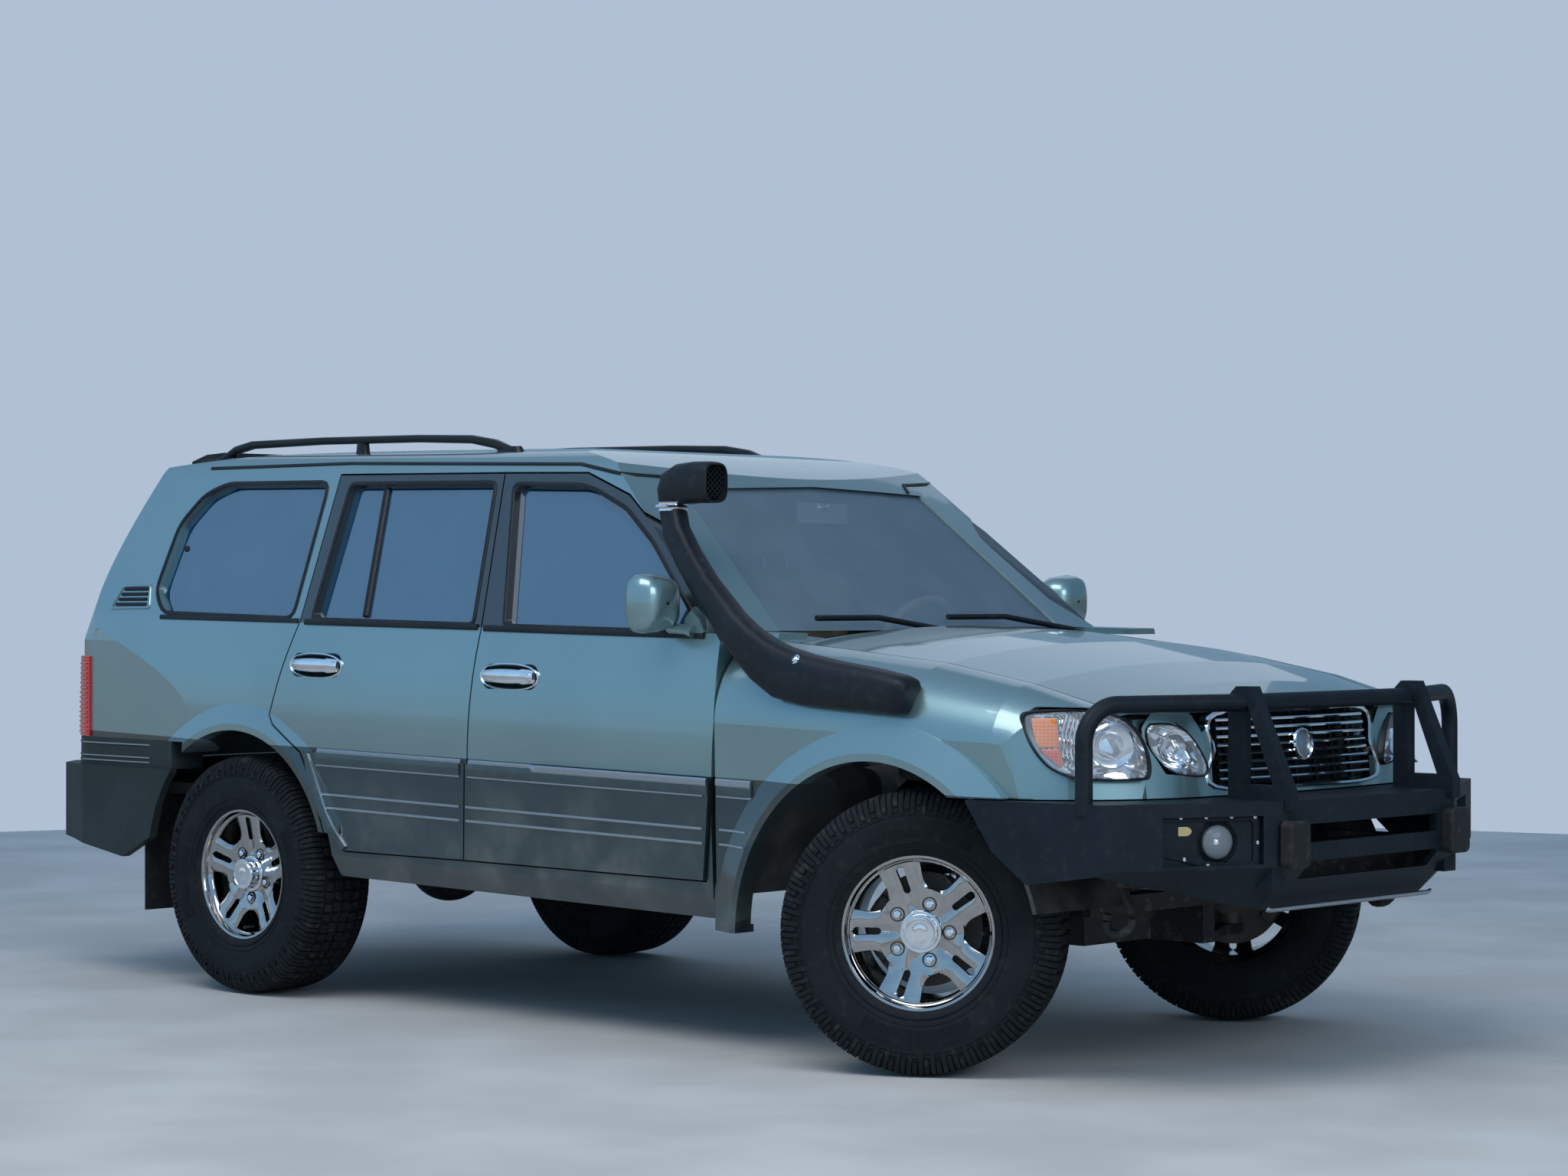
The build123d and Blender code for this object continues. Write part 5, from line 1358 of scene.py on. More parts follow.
class WAGON_OT_tail(bpy.types.Operator):
    """Fittings of the tail, and the trim along the wheel arches"""
    bl_idname = "wagon.tail"
    bl_label = "Tail"

    def execute(self, context):
        self.lamps()
        self.bumper()
        self.plate()
        self.hatch()
        self.arches()
        return {"FINISHED"}

    def lamps(self):
        """Clear reversing lenses, ribs across the red ones and a dark seam between them."""
        skin = Skin("tail_lamps")
        form = Form()
        skin.ribbon(form, [(-2700, -786, 1004), (-2700, -786, 1098)], 0.078, 0.004, kind=0, look=BACK)
        skin.ribbon(form, [(-2700, -747, 1001), (-2700, -832, 1001)], 0.005, 0.006, kind=1, look=BACK, step=8)
        skin.ribbon(form, [(-2700, -830, 1001), (-2700, -830, 1108)], 0.005, 0.006, kind=1, look=BACK, step=8)
        for row in range(9):
            z = 848 + row * 17
            skin.ribbon(form, [(-2700, -742, z), (-2700, -884, z)], 0.007, 0.004, kind=2, look=BACK, step=10)
        for row in range(15):
            z = 848 + row * 17
            skin.ribbon(form, [(-2412, z), (-2300, z)], 0.007, 0.003, kind=2, step=10)
        both("tail_lamp_{}", form, "root", "red_lens", "white_lens", "satin_black", "red_lens")

    def bumper(self):
        """Ribs along the upper band, a rubber tread over the step, reflectors and side seams."""
        skin = Skin("rear_bumper")
        ribs = Form()
        for z in (752, 768, 812):
            skin.ribbon(ribs, [(-2330, z), (-1905, z + 1)], 0.006, 0.004)
            skin.ribbon(ribs, [(-2700, -880, z), (-2700, 0, z)], 0.006, 0.004, look=BACK, step=16)
        both("bumper_ribs_{}", ribs, "root", "lower_paint", "brushed_lip")
        step = Form()
        for row in range(6):
            y_end = 520 - row * 12
            x = -2588 + row * 13
            step.loft([[at(x + a, y, 735 + h) for a, h in ((-4.5, -2), (-3.5, 4), (3.5, 4), (4.5, -2))]
                       for y in (-y_end, -225)])
        both("step_tread_{}", step, "root", "rubber", "rubber", bevel=0.001)
        glow = Form()
        skin.ribbon(glow, [(-2700, -640, 560), (-2700, -810, 560)], 0.044, 0.006, look=BACK, step=16)
        both("reflector_{}", glow, "root", "red_lens", "red_lens")

    def plate(self):
        """A blank plate in its recess, its screws, and the grip of the tailgate."""
        form = Form()
        x = -2478
        edge = [(-178, 828), (178, 828), (178, 990), (-178, 990)]
        form.loft([[at(x - d, y * s, 909 + (z - 909) * s) for y, z in edge]
                   for s, d in ((1.06, -8), (1.06, 6), (1.0, 8), (0.97, 3))],
                  kind=0)
        plate = [(-152, 836), (152, 836), (152, 982), (-152, 982)]
        form.loft([[at(x - d, y, z) for y, z in plate] for d in (2, 6)], kind=1)
        rim = [[at(x - d, y * s, 909 + (z - 909) * s) for y, z in plate]
               for s, d in ((1.0, 6), (0.995, 7.5), (0.97, 7.5), (0.96, 6))]
        form.loft(rim, caps=False, kind=1)
        for y in (-75, 75):
            for z in (846, 972):
                place = turned(at(x - 6, y, z), -90, "Y")
                form.around([(0.007, -0.002), (0.007, 0.001), (0.005, 0.003), (0.0002, 0.0032)], place, 14,
                            kind=2)
        piece("plate", form, "tailgate", "black_plastic", "satin_black", "bare_plate", "bright_trim",
              bevel=0.003)
        grip = Form()
        rings = []
        for y in range(-320, 321, 20):
            u = abs(y / 320)
            rise = 6 * (1 - u * u)
            rings.append([at(x - d, y, z + rise) for d, z in ((-4, 1010), (10, 1012), (19 - 6 * u ** 4, 1022),
                                                            (21 - 8 * u ** 4, 1040), (12, 1054), (-4, 1056))])
        grip.loft(rings)
        piece("tailgate_grip", grip, "tailgate", "bright_trim", "bright_trim", bevel=0.003)

    def hatch(self):
        """Wiper, window seal and high stop lamp on the hatch."""
        skin = Skin("hatch", "hatch_glass")
        seal = Form()
        outline = [(-640, 1200), (640, 1200), (555, 1660), (-555, 1660)]
        skin.ribbon(seal, [(-2800, y * 1.006, 1430 + (z - 1430) * 1.012) for y, z in rounded(outline, 46)],
                    0.016, 0.004, look=BACK, closed=True, step=30)
        piece("hatch_seal", seal, "hatch", "rubber", "satin_black")
        wiper = Form()
        spots = []
        for y, z, out in ((0, 1176, 22), (-90, 1196, 27), (-210, 1215, 26), (-330, 1226, 22)):
            point, _ = skin.cast(at(-2900, y, z), BACK)
            spots.append(point + Vector((-out / 1000, 0, 0)))
        wiper.tube(spots, (0.012, 0.009, 0.006, 0.005), 10, flat=0.6, up=Vector((1, 0, 0)))
        blade = []
        for k in range(9):
            point, _ = skin.cast(at(-2900, -470 + k * 50, 1231 - abs(k - 4) * 1.5), BACK)
            blade.append(point + Vector((-0.009, 0, 0)))
        wiper.tube(blade, 0.006, 8, flat=0.7, up=Vector((1, 0, 0)))
        pivot = turned(spots[0] + Vector((0.02, 0, 0)), -90, "Y")
        wiper.around([(0.024, -0.01), (0.023, 0.008), (0.016, 0.020), (0.010, 0.034), (0.0002, 0.036)],
                     pivot, 24)
        piece("hatch_wiper", wiper, "hatch", "black_plastic", "satin_black")
        lamp = Form()
        Skin("roof_deflector").ribbon(lamp, [(-2800, -150, 1806), (-2800, 150, 1806)], 0.012, 0.003,
                                      look=BACK, step=20)
        piece("high_stop_lamp", lamp, "root", "red_lens", "red_lens")

    def arches(self):
        """The painted strip with a bright edge along the rear arch."""
        rear = Skin("rear_door_right", "body_side_right")
        strip = Form()
        rear.ribbon(strip, [(-1062, 814), (-1015, 720), (-962, 620), (-912, 545), (-880, 512)], 0.030, 0.007,
                    kind=0)
        rear.ribbon(strip, [(-1044, 812), (-998, 720), (-945, 620), (-897, 548), (-868, 518)], 0.006, 0.009,
                    kind=1)
        both("arch_strip_{}", strip, "door_rear_{}", "lower_paint", "lower_paint", "brushed_lip")


# Cabin: padded seats, dashboard, steering wheel, linings

SEAT_SIDE = 372
STUFFING_STEPS = 20                       # frames that the stuffing takes to push its cover out
PRESSURE, CLOTH_QUALITY, FILL = 4, 4, 0.75
VOXEL, STUFFING_REACH = 0.016, 0.012      # metres
SEAM, PLEAT, PIPING = (0.0075, 0.0075), (0.0055, 0.007), (0.004, 0.03)    # depth and width of each press
PADS = (  # name, middle in mm, lean in degrees, size across, along and thick, bolster, seams along and across
    ("front_cushion", (92, -SEAT_SIDE, 908), 2, (500, 490, 96), 0.020, (-155, 155), (-120, -40, 40, 120)),
    ("front_back", (-140, -SEAT_SIDE, 1168), 98, (500, 524, 118), 0.026, (-150, 150), (-130, -45, 40, 125)),
    ("front_head", (-215, -SEAT_SIDE, 1540), 96, (262, 156, 104), 0.0, (), (-52, 52)),
    ("rear_cushion", (-873, 0, 908), 2, (1276, 550, 96), 0.012, (-430, -195, 195, 430), (-90, 30, 140)),
    ("rear_back", (-1160, 0, 1174), 99, (1276, 526, 112), 0.014, (-430, -195, 195, 430), (-120, -20, 80)),
    ("rear_head_middle", (-1210, 0, 1535), 96, (250, 140, 96), 0.0, (), (0,)),
    ("rear_head_side", (-1206, -405, 1530), 96, (262, 150, 100), 0.0, (), (-48, 48)),
)


def settled(obj):
    """Puts the modifiers of a piece into its mesh."""
    shape = obj.evaluated_get(bpy.context.evaluated_depsgraph_get())
    mesh = bpy.data.meshes.new_from_object(shape)
    obj.modifiers.clear()
    obj.data = mesh
    return mesh


BLOCK_ROWS, BLOCK_SIDES, BLOCK_POWER = 20, 48, 0.34     # a lower power makes a squarer block


def soft_block(size, bolster):
    """A closed block with round edges and raised sides, about its own middle, thick along z."""
    half = [s / 2000 for s in size]
    form = Form()

    def bent(value):
        return abs(value) ** BLOCK_POWER * (1 if value >= 0 else -1)

    rings = []
    for r in range(BLOCK_ROWS + 1):
        v = (r / BLOCK_ROWS - 0.5) * pi * 0.998
        ring = []
        for k in range(BLOCK_SIDES):
            u = 2 * pi * k / BLOCK_SIDES
            wide = bent(cos(v))
            x, y, z = half[0] * wide * bent(cos(u)), half[1] * wide * bent(sin(u)), half[2] * bent(sin(v))
            if z > 0:
                z += bolster * (abs(x) / half[0]) ** 5
            ring.append((x, y, z))
        rings.append(ring)
    return form.loft(rings)


class WAGON_OT_seats(bpy.types.Operator):
    """Stuffs and sews the seats, and stands them on their bases"""
    bl_idname = "wagon.seats"
    bl_label = "Seats"

    def execute(self, context):
        pads = []
        for name, middle, lean, size, bolster, along, across in PADS:
            place = (turned(at(*middle), lean, "Y")
                     @ Matrix.Rotation(radians(90), 4, "Z"))
            form = Form().join(soft_block(size, bolster), place)
            pad = piece(name, form, "root", "seat_leather", "seat_leather", crease=180, replaces=["seats"])
            even = pad.modifiers.new("voxels", "REMESH")
            even.mode, even.voxel_size, even.use_smooth_shade = "VOXEL", VOXEL, True
            settled(pad)
            pads.append((pad, place, size, along, across))
        self.stuff(context.scene, [pad for pad, *_ in pads])
        for pad, place, size, along, across in pads:
            self.sew(pad, place, size, along, across)
            if pad.name.startswith(("front", "rear_head_side")):
                self.twin(pad)
        self.stands()
        return {"FINISHED"}

    def stuff(self, scene, pads):
        """Blows all covers up together as cloth under pressure, held to a small reach."""
        starts = {}
        for pad in pads:
            starts[pad.name] = [v.co.copy() for v in pad.data.vertices]
            cloth = pad.modifiers.new("stuffing", "CLOTH")
            cloth.settings.quality = CLOTH_QUALITY
            cloth.settings.use_pressure = True
            cloth.settings.uniform_pressure_force = PRESSURE
            cloth.settings.effector_weights.gravity = 0
        for step in range(1, STUFFING_STEPS + 1):
            scene.frame_set(step)
        for pad in pads:
            mesh = settled(pad)
            for vertex, start in zip(mesh.vertices, starts[pad.name]):
                way = vertex.co - start
                if way.length > STUFFING_REACH:
                    vertex.co = start + way * (STUFFING_REACH / way.length)
        scene.frame_set(1)

    def sew(self, pad, place, size, along, across):
        """Presses the seams into the cover once it is fine enough, and draws its sides in."""
        soft = pad.modifiers.new("fine", "SUBSURF")
        soft.levels = soft.render_levels = 1
        mesh = settled(pad)
        mesh.shade_smooth()
        back = place.inverted()
        half_x, half_y = size[0] / 2000, size[1] / 2000
        normals = [v.normal.copy() for v in mesh.vertices]
        inner = max((abs(a) for a in along), default=size[0] * 0.46) / 1000
        for vertex, normal in zip(mesh.vertices, normals):
            spot = back @ vertex.co
            if spot.z < -size[2] / 4000:
                continue
            press = 0.0
            for line in along:
                press = max(press, SEAM[0] * bell(spot.x - line / 1000, SEAM[1]))
            for line in across:
                if abs(spot.x) < inner + 0.002:
                    press = max(press, PLEAT[0] * bell(spot.y - line / 1000, PLEAT[1]))
            edge = max(abs(spot.x) / half_x, abs(spot.y) / half_y)
            press += PIPING[0] * bell(edge - 0.93, PIPING[1])
            vertex.co -= normal * press

    def twin(self, pad):
        """The same pad on the other side of the cabin."""
        mesh = pad.data.copy()
        for vertex in mesh.vertices:
            vertex.co.y = -vertex.co.y
        mesh.flip_normals()
        other = bpy.data.objects.new(pad.name + "_left", mesh)
        bpy.context.scene.collection.objects.link(other)
        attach(other, "root")

    def stands(self):
        """Plastic skirts, runners and head rest posts under the leather."""
        stand = Form()
        for x0, x1, y0, y1 in ((-70, 262, -SEAT_SIDE - 215, -SEAT_SIDE + 215), (-1080, -670, -460, 0)):
            outline = [(x0, y0), (x1, y0), (x1, y1), (x0, y1)]
            stand.loft([[at(x + dx * (1 if x > (x0 + x1) / 2 else -1), y, z) for x, y in outline]
                        for z, dx in ((724, -30), (735, 0), (840, 8), (858, -6))], kind=0)
            for y in (y0 + 40, max(y1 - 60, y0 + 60)):
                stand.loft([[at(x, y + w, z) for x, w in ((x0 - 30, 0), (x1 + 40, 0), (x1 + 40, 22),
                                                          (x0 - 30, 22))]
                            for z in (681, 724)], kind=1)
        for y in (-SEAT_SIDE - 232, -SEAT_SIDE + 210):
            stand.loft([[at(x, y + w, z) for x, z in ((60, 850), (-60, 852), (-118, 900), (-130, 1010),
                                                      (-96, 1018), (-66, 930), (50, 884))]
                        for w in (0, 22)], kind=0)
        for x, y, x_top in ((-196, -SEAT_SIDE - 55, -206), (-196, -SEAT_SIDE + 55, -206),
                            (-1192, -405 - 55, -1202), (-1192, -405 + 55, -1202), (-1196, -50, -1206)):
            stand.tube([at(x, y, 1405), at(x_top, y, 1500)], 0.0065, 10, kind=2)
        both("seat_stands_{}", stand, "root", "cabin_plastic", "cabin_plastic", "frame_steel", "bright_trim",
             bevel=0.006)


class WAGON_OT_cabin(bpy.types.Operator):
    """Dashboard, steering wheel, door trims and headlining"""
    bl_idname = "wagon.cabin"
    bl_label = "Cabin"

    def execute(self, context):
        self.dashboard()
        self.console()
        self.steering_wheel()
        self.door_trims()
        self.linings()
        return {"FINISHED"}

    def dashboard(self):
        """A padded top over a paler face, with vents and dials under a hood."""
        top = [(548, 1118), (556, 1168), (580, 1184), (640, 1188), (786, 1186), (786, 1120), (620, 1108)]
        low = [(560, 1116), (620, 1106), (780, 1118), (780, 868), (662, 868), (600, 915), (566, 1000)]
        for name, outline, finish, half in (("dash_top", top, "cabin_plastic", 636),
                                            ("dash_face", low, "cabin_pale", 628)):
            form = Form()
            rings = []
            for k in range(13):
                y = -half + 2 * half * k / 12
                draw = 0.94 + 0.06 * (1 - abs(y / half) ** 4)
                rings.append([at(786 + (x - 786) * draw, y, z) for x, z in outline])
            form.loft(rings)
            piece(name, form, "root", "cabin_plastic", finish, bevel=0.010, steps=3, replaces=["dashboard"])
        hood = Form()
        rings = []
        for x, share in ((600, 1.0), (572, 1.02), (536, 1.0), (528, 0.97), (540, 0.93), (590, 0.9)):
            rings.append([at(x, SEAT_SIDE + 175 * share * cos(pi * k / 16), 1140 + 84 * share
                             * sin(pi * k / 16) ** 0.8)
                          for k in range(17)])
        hood.loft(rings, closed=False, caps=False)
        piece("dial_hood", hood, "root", "cabin_plastic", "cabin_plastic")
        dials = Form()
        for y, radius in ((SEAT_SIDE - 72, 46), (SEAT_SIDE + 72, 46), (SEAT_SIDE, 30)):
            place = turned(at(588, y, 1162), -75, "Y")
            r = radius / 1000
            dials.around([(r, -0.012), (r, 0.005), (r * 0.94, 0.006), (r * 0.9, 0.0), (0.0002, 0.0)], place,
                         32, kind=1)
            for tick in range(11):
                turn = radians(-30 + tick * 24)
                spot = place @ Matrix.Rotation(turn, 4, "Z")
                dials.loft([[spot @ Vector((a, b, z)) for a, b in ((r * 0.72, -0.001), (r * 0.84, -0.001),
                                                                  (r * 0.84, 0.001), (r * 0.72, 0.001))]
                            for z in (0.0005, 0.0015)], kind=2)
        piece("dials", dials, "root", "cabin_plastic", "cabin_plastic", "satin_black", "bare_plate")
        vents = Form()
        for y in (-560, -110, 110, 560):
            place = turned(at(562, y, 1066), -83, "Y")
            edge = [(0.030, -0.052), (0.030, 0.052), (-0.030, 0.052), (-0.030, -0.052)]
            vents.loft([[place @ Vector((a * s, b * s, z)) for a, b in edge]
                        for s, z in ((1.05, -0.004), (1.05, 0.006), (0.94, 0.007), (0.9, -0.012))], kind=0)
            for slat in range(5):
                a = -0.020 + slat * 0.010
                vents.loft([[place @ Vector((a + p, b, z)) for b, z in ((-0.045, 0.002), (0.045, 0.002),
                                                                        (0.045, -0.01), (-0.045, -0.01))]
                            for p in (0, 0.0022)], kind=1)
        piece("cabin_vents", vents, "root", "cabin_plastic", "cabin_plastic", "satin_black", bevel=0.002)

    def console(self):
        """Centre stack with knobs, a box between the seats, a gear lever and its gaiter."""
        form = Form()
        sections = ((-60, 900, 105), (120, 905, 108), (300, 880, 104), (420, 870, 100), (520, 905, 112),
                    (600, 1010, 118), (640, 1080, 120))
        rings = []
        for x, z, half in sections:
            rings.append([at(x, y, h) for y, h in ((-half, 684), (-half, z - 22), (-half + 20, z),
                                                   (half - 20, z), (half, z - 22), (half, 684))])
        form.loft(rings)
        piece("console", form, "root", "cabin_plastic", "cabin_pale", bevel=0.008, steps=3)
        knobs = Form()
        for y in (-62, 0, 62):
            place = turned(at(572, y, 985), -68, "Y")
            knobs.around([(0.021, 0.0), (0.021, 0.006), (0.017, 0.008), (0.016, 0.024), (0.013, 0.027),
                          (0.0002, 0.027)], place, 24)
        lever = [at(352, 30, 872), at(345, 30, 930), at(336, 30, 985)]
        knobs.around([(0.052, -0.004), (0.046, 0.012), (0.050, 0.018), (0.034, 0.034), (0.036, 0.040),
                      (0.018, 0.056), (0.010, 0.062)],
                     Matrix.Translation(at(352, 30, 868)), 24, kind=0)
        knobs.tube(lever, 0.007, 12, kind=1)
        knobs.around([(0.0002, -0.034), (0.014, -0.032), (0.023, -0.014), (0.025, 0.008), (0.018, 0.026),
                      (0.0002, 0.031)],
                     Matrix.Translation(at(334, 30, 1004)), 24, kind=0)
        piece("console_controls", knobs, "root", "cabin_plastic", "satin_black", "bright_trim")
        column = Form()
        column.tube([at(600, SEAT_SIDE, 1062), at(520, SEAT_SIDE, 1098), at(452, SEAT_SIDE, 1130)],
                    (0.052, 0.046, 0.038), 20, flat=0.85)
        for side in (-1, 1):
            column.tube([at(466, SEAT_SIDE, 1122), at(452, SEAT_SIDE + side * 70, 1134),
                         at(440, SEAT_SIDE + side * 150, 1148)],
                        (0.009, 0.007, 0.008), 10)
        piece("steering_column", column, "root", "cabin_plastic", "cabin_plastic")

    def steering_wheel(self):
        """A leather rim on four spokes, with a domed middle."""
        axis = Vector((-128, 0, 60)).normalized()
        place = Matrix.Translation(at(425, SEAT_SIDE,
                                      1143.3)) @ axis.to_track_quat("Z", "X").to_matrix().to_4x4()
        form = Form()
        rim = [(0.182 + 0.0145 * cos(a), 0.012 + 0.0145 * sin(a))
               for a in [2 * pi * k / 14 for k in range(14)]]
        form.around(rim, place, 72, closed=True, kind=1)
        form.around([(0.052, -0.002), (0.070, 0.002), (0.078, 0.010), (0.074, 0.022), (0.055, 0.031),
                     (0.025, 0.035), (0.0002, 0.036)],
                    place, 36, kind=0)
        for turn in (20, 160, 205, 335):
            spin = place @ Matrix.Rotation(radians(turn), 4, "Z")
            rings = []
            for r, w, t, h in ((0.060, 0.024, 0.008, 0.014), (0.100, 0.017, 0.006, 0.010),
                               (0.140, 0.014, 0.005, 0.010), (0.176, 0.017, 0.006, 0.012)):
                rings.append([spin @ Vector((r, w * cos(a), h + t * sin(a)))
                              for a in [2 * pi * k / 12 for k in range(12)]])
            form.loft(rings, kind=0)
        piece("wheel_in_hand", form, "steering_wheel", "cabin_plastic", "cabin_plastic", "seat_leather",
              replaces=["steering_wheel"])

    def door_trims(self):
        """Moulded panels on the doors' inner faces, with an arm rest and a pocket."""
        for name, rear_x, front_x in (("front", (-268, -262), (742, 757)),
                                      ("rear", (-905, -1128), (-322, -282))):
            skin = Skin(f"{name}_door_right")
            columns, rows = 26, 22
            grid = []
            for r in range(rows + 1):
                v = r / rows
                z = 536 + (1216 - 536) * v
                back = rear_x[0] + (rear_x[1] - rear_x[0]) * v
                if name == "rear" and z > 760:
                    back = -1120
                elif name == "rear":
                    back = -905 - (z - 536) * 0.7
                fore = front_x[0] + (front_x[1] - front_x[0]) * v
                row = []
                for c in range(columns + 1):
                    u = c / columns
                    x = back + 26 + (fore - back - 52) * u
                    point, _ = skin.cast(at(x, 0, z), (0, -1, 0))
                    if point is None:
                        point = at(x, -850, z)
                    rest = 0.045 * bell(z - 930, 34) * min(1, 5 * min(u, 1 - u)) ** 0.5
                    pocket = 0.030 * bell(z - 640, 60, 4) * min(1, 6 * min(u, 1 - u)) ** 0.5
                    edge = min(u, 1 - u, v, 1 - v) * 9
                    row.append(point + Vector((0, 0.006 + 0.010 * min(1, edge) ** 0.5 + rest + pocket, 0)))
                grid.append(row)
            form = Form()
            form.loft(grid, closed=False, caps=False)
            for row in range(len(form.kinds)):
                height = form.points[form.faces[row][0]].z
                form.kinds[row] = 1 if height > 1.02 else 0
            both(f"{name}_door_trim_{{}}", form, f"door_{name}_{{}}", "cabin_plastic", "cabin_pale",
                 "cabin_plastic", crease=60)

    def linings(self):
        """The headlining under the roof."""
        skin = Skin("roof_panel", "body_side_right", "body_side_left")
        rows = []
        for i in range(31):
            x = -2040 + (232 + 2040) * i / 30
            row = []
            for k in range(17):
                y = -575 + 1150 * k / 16
                point, _ = skin.cast(at(x, y, 1500), (0, 0, 1))
                point = point if point is not None else at(x, y, 1700)
                row.append(point - Vector((0, 0, 0.012)))
            rows.append(row)
        form = Form()
        form.loft(rows, closed=False, caps=False)
        piece("headlining", form, "root", "cabin_plastic", "headlining")


# Springs, brakes, exhaust end and what shows under the bonnet

class WAGON_OT_underside(bpy.types.Operator):
    """Coil springs, dampers, callipers, the exhaust's end and the engine's fittings"""
    bl_idname = "wagon.underside"
    bl_label = "Underside"

    def execute(self, context):
        self.springs()
        self.callipers()
        self.exhaust()
        self.engine()
        return {"FINISHED"}

    def springs(self):
        """Rear coils round their rubber stops, with a damper beside each."""
        form = Form()
        turns, rise = 5, 168
        coil = [at(-1425 + 58 * cos(2 * pi * k / 16), -425 + 58 * sin(2 * pi * k / 16), 455 + rise * k
                   / (16 * turns))
                for k in range(16 * turns + 1)]
        form.tube(coil, 0.0075, 8)
        for z in (448, 622):
            form.around([(0.04, -0.006), (0.07, -0.006), (0.074, 0.0), (0.07, 0.006), (0.04, 0.006)],
                        Matrix.Translation(at(-1425, -425, z)), 32)
        low, high = at(-1500, -520, 360), at(-1545, -480, 632)
        form.tube([low, low.lerp(high, 0.55)], 0.026, 20, kind=1)
        form.tube([low.lerp(high, 0.5), high], 0.009, 14, kind=2)
        form.tube([low.lerp(high, 0.56), low.lerp(high, 0.9)], 0.033, 20, kind=1)
        both("spring_{}", form, "root", "frame_steel", "frame_steel", "satin_black", "bright_trim")

    def callipers(self):
        """A brake calliper on each front disc and on each rear one."""
        for ending, centre, outward, _, _ in WHEELS:
            form = Form()
            rings = []
            for step in range(9):
                a = radians(-38 + 76 * step / 8)
                near = 1 - 0.10 * abs(step - 4) / 4
                rings.append([Vector((-r * cos(a), r * sin(a), z)) / 1000 for r, z in
                              ((112, -62), (150 * near + 12, -66), (176 * near, -50), (176 * near, 2),
                               (150 * near + 12, 14), (112, 12))])
            form.loft(rings)
            body = f"steer_{ending[6:]}" if ending.startswith("front") else "root"
            place = wheel_place(centre, outward)
            piece(f"calliper_{ending}", Form().join(form, place @ Matrix.Translation((0, 0, -0.012))), body,
                  "cast_iron", "cast_iron", bevel=0.006)

    def exhaust(self):
        """The turned-down end of the exhaust, and hangers along the pipe."""
        form = Form()
        form.tube([at(-2370, -560, 560), at(-2420, -560, 556), at(-2462, -560, 540), at(-2488, -560, 512)],
                  (0.031, 0.033, 0.035, 0.036), 24, caps=False, kind=0)
        form.tube([at(-2370, -560, 560), at(-2420, -560, 556), at(-2460, -560, 541), at(-2485, -560, 514)],
                  (0.026, 0.028, 0.030, 0.032), 24, caps=False, kind=1)
        for x in (-1080, -2300):
            form.tube([at(x, -560, 592), at(x, -552, 622), at(x, -520, 634)], 0.006, 8, kind=1)
        piece("exhaust_end", form, "root", "bright_trim", "bright_trim", "frame_steel")

    def engine(self):
        """A ribbed cover, air box, battery, bottles, hoses and the radiator's top."""
        form = Form()
        top = [(1200, 996), (1196, 1030), (1230, 1052), (1760, 1046), (1800, 1020), (1800, 996)]
        form.loft([[at(1500 + (x - 1500) * s, y, z) for x, z in top]
                   for y, s in ((-190, 0.93), (-170, 0.99), (170, 0.99), (190, 0.93))])
        for row in range(7):
            y = -120 + row * 40
            form.loft([[at(x, y + w, 1046 + h) for w, h in ((-9, 0), (-6, 12), (6, 12), (9, 0))]
                       for x in (1290, 1700)], kind=1)
        for x0, x1, y0, y1, z0, z1, kind in ((1230, 1520, -640, -410, 800, 1010, 0),
                                             (1560, 1800, 400, 590, 800, 985, 0),
                                             (1300, 1440, 430, 600, 820, 975, 2),
                                             (1960, 2010, -390, 390, 560, 960, 1)):
            rings = []
            for z, inset in ((z0, 12), (z0 + 14, 2), (z1 - 26, 0), (z1 - 25, -7), (z1 - 10, -7), (z1, 8)):
                rings.append([at(x, y, z) for x, y in ((x0 + inset, y0 + inset), (x1 - inset, y0 + inset),
                                                       (x1 - inset, y1 - inset), (x0 + inset, y1 - inset))])
            form.loft(rings, kind=kind)
        for y in (435, 555):
            form.around([(0.016, -0.02), (0.016, 0.01), (0.011, 0.014), (0.0002, 0.014)],
                        Matrix.Translation(at(1620, y, 986)), 16, kind=3)
        form.around([(0.03, -0.02), (0.03, 0.008), (0.024, 0.014), (0.0002, 0.015)],
                    Matrix.Translation(at(1370, 515, 976)), 20)
        form.tube([at(1520, -525, 960), at(1620, -500, 975), at(1720, -380, 985), at(1740, -240, 990),
                   at(1700, -150, 1000)],
                  0.038, 20)
        form.tube([at(1790, 60, 1000), at(1860, 90, 985), at(1930, 130, 950), at(1975, 150, 930)], 0.021, 14,
                  kind=1)
        piece("engine_fittings", form, "root", "cabin_plastic", "black_plastic", "satin_black", "cream_lens",
              "bright_trim", bevel=0.006, steps=2)


# Settings, panel and start

class WagonPaint(bpy.types.PropertyGroup):
    """Colours of the bodywork"""
    body: FloatVectorProperty(name="Body", description="Lacquer of the upper body", subtype="COLOR",
                              default=(0.165, 0.270, 0.285))
    flake: FloatVectorProperty(name="Flake", description="Metal flakes in the lacquer", subtype="COLOR",
                               default=(0.330, 0.480, 0.500))
    shade: FloatVectorProperty(name="Shade", description="Cloudy change of the lacquer", subtype="COLOR",
                               default=(0.125, 0.215, 0.240))
    lower: FloatVectorProperty(name="Lower body", description="Lacquer below the side moulding",
                               subtype="COLOR", default=(0.034, 0.056, 0.060))
    dust: FloatVectorProperty(name="Dust", description="Road dust on the lower parts", subtype="COLOR",
                              default=(0.20, 0.18, 0.15))


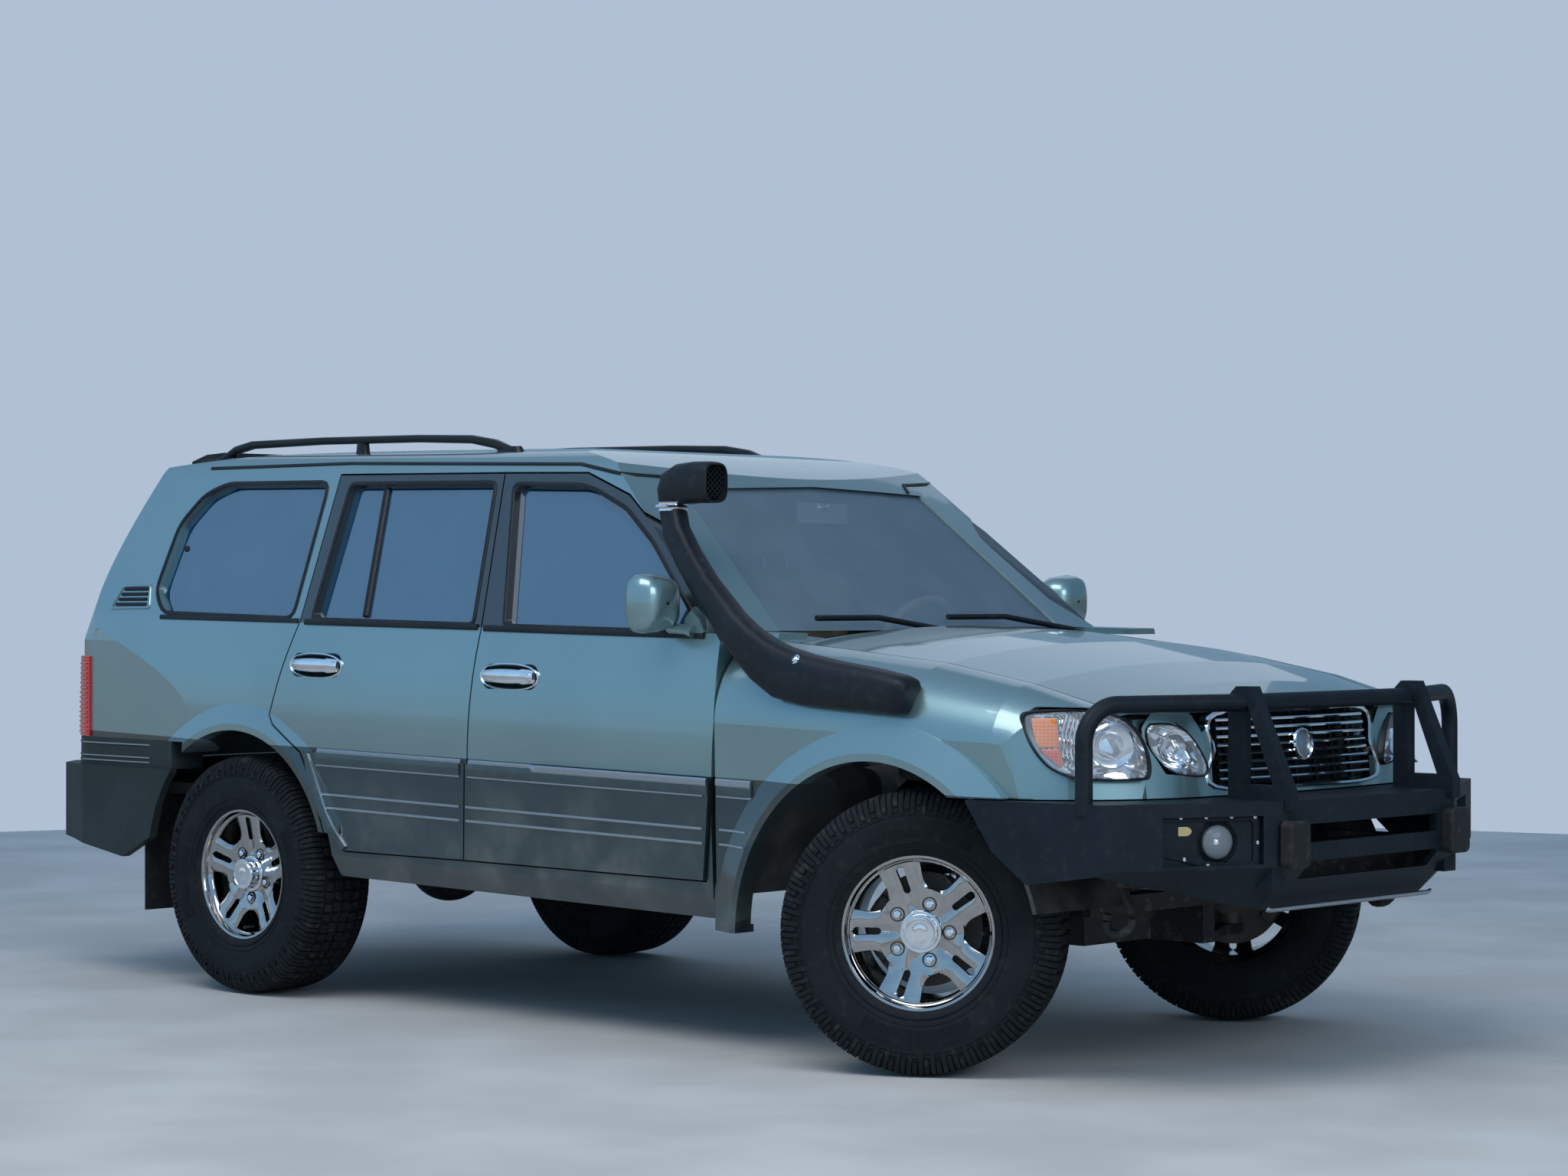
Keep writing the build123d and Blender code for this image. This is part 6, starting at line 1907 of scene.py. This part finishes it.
class WagonStage(bpy.types.PropertyGroup):
    """Camera, floor and light"""
    lens: FloatProperty(name="Lens", description="Focal length in millimetres", default=80.09)
    eye: FloatVectorProperty(name="Camera", description="Where the camera stands", subtype="XYZ",
                             unit="LENGTH", default=(7.8977, -8.1929, 1.351))
    turn: FloatProperty(name="Heading", description="The camera's turn about the vertical", subtype="ANGLE",
                        default=radians(42.997))
    floor_reach: FloatProperty(name="Floor", description="Radius of the floor", unit="LENGTH", default=9.0)
    sky: FloatProperty(name="Sky", description="Strength of the world's light", default=0.85)
    backdrop: FloatVectorProperty(name="Backdrop", description="Plain colour behind the object",
                                  subtype="COLOR", default=(0.44, 0.53, 0.66))


GROUPS = (WagonPaint, WagonStage)
OPERATORS = (WAGON_OT_finishes, WAGON_OT_stage, WAGON_OT_wheels, WAGON_OT_front, WAGON_OT_sides,
             WAGON_OT_seats, WAGON_OT_cabin, WAGON_OT_intake, WAGON_OT_tail, WAGON_OT_underside)


class WAGON_PT_panel(bpy.types.Panel):
    """Lists the steps that build the wagon, and its settings"""
    bl_idname = "WAGON_PT_panel"
    bl_label = "Wagon"
    bl_space_type = "VIEW_3D"
    bl_region_type = "UI"
    bl_category = "Wagon"

    def draw(self, context):
        for step in OPERATORS:
            self.layout.operator(step.bl_idname)
        for group in (context.scene.wagon_paint, context.scene.wagon_stage):
            for name in group.__annotations__:
                self.layout.prop(group, name)


def register():
    for kind in (*GROUPS, *OPERATORS, WAGON_PT_panel):
        bpy.utils.register_class(kind)
    bpy.types.Scene.wagon_paint = PointerProperty(type=WagonPaint)
    bpy.types.Scene.wagon_stage = PointerProperty(type=WagonStage)


def unregister():
    del bpy.types.Scene.wagon_stage
    del bpy.types.Scene.wagon_paint
    for kind in (WAGON_PT_panel, *reversed(OPERATORS), *reversed(GROUPS)):
        bpy.utils.unregister_class(kind)


def main():
    register()
    for step in OPERATORS:
        group, name = step.bl_idname.split(".")
        getattr(getattr(bpy.ops, group), name)()


if __name__ == "__main__":
    main()
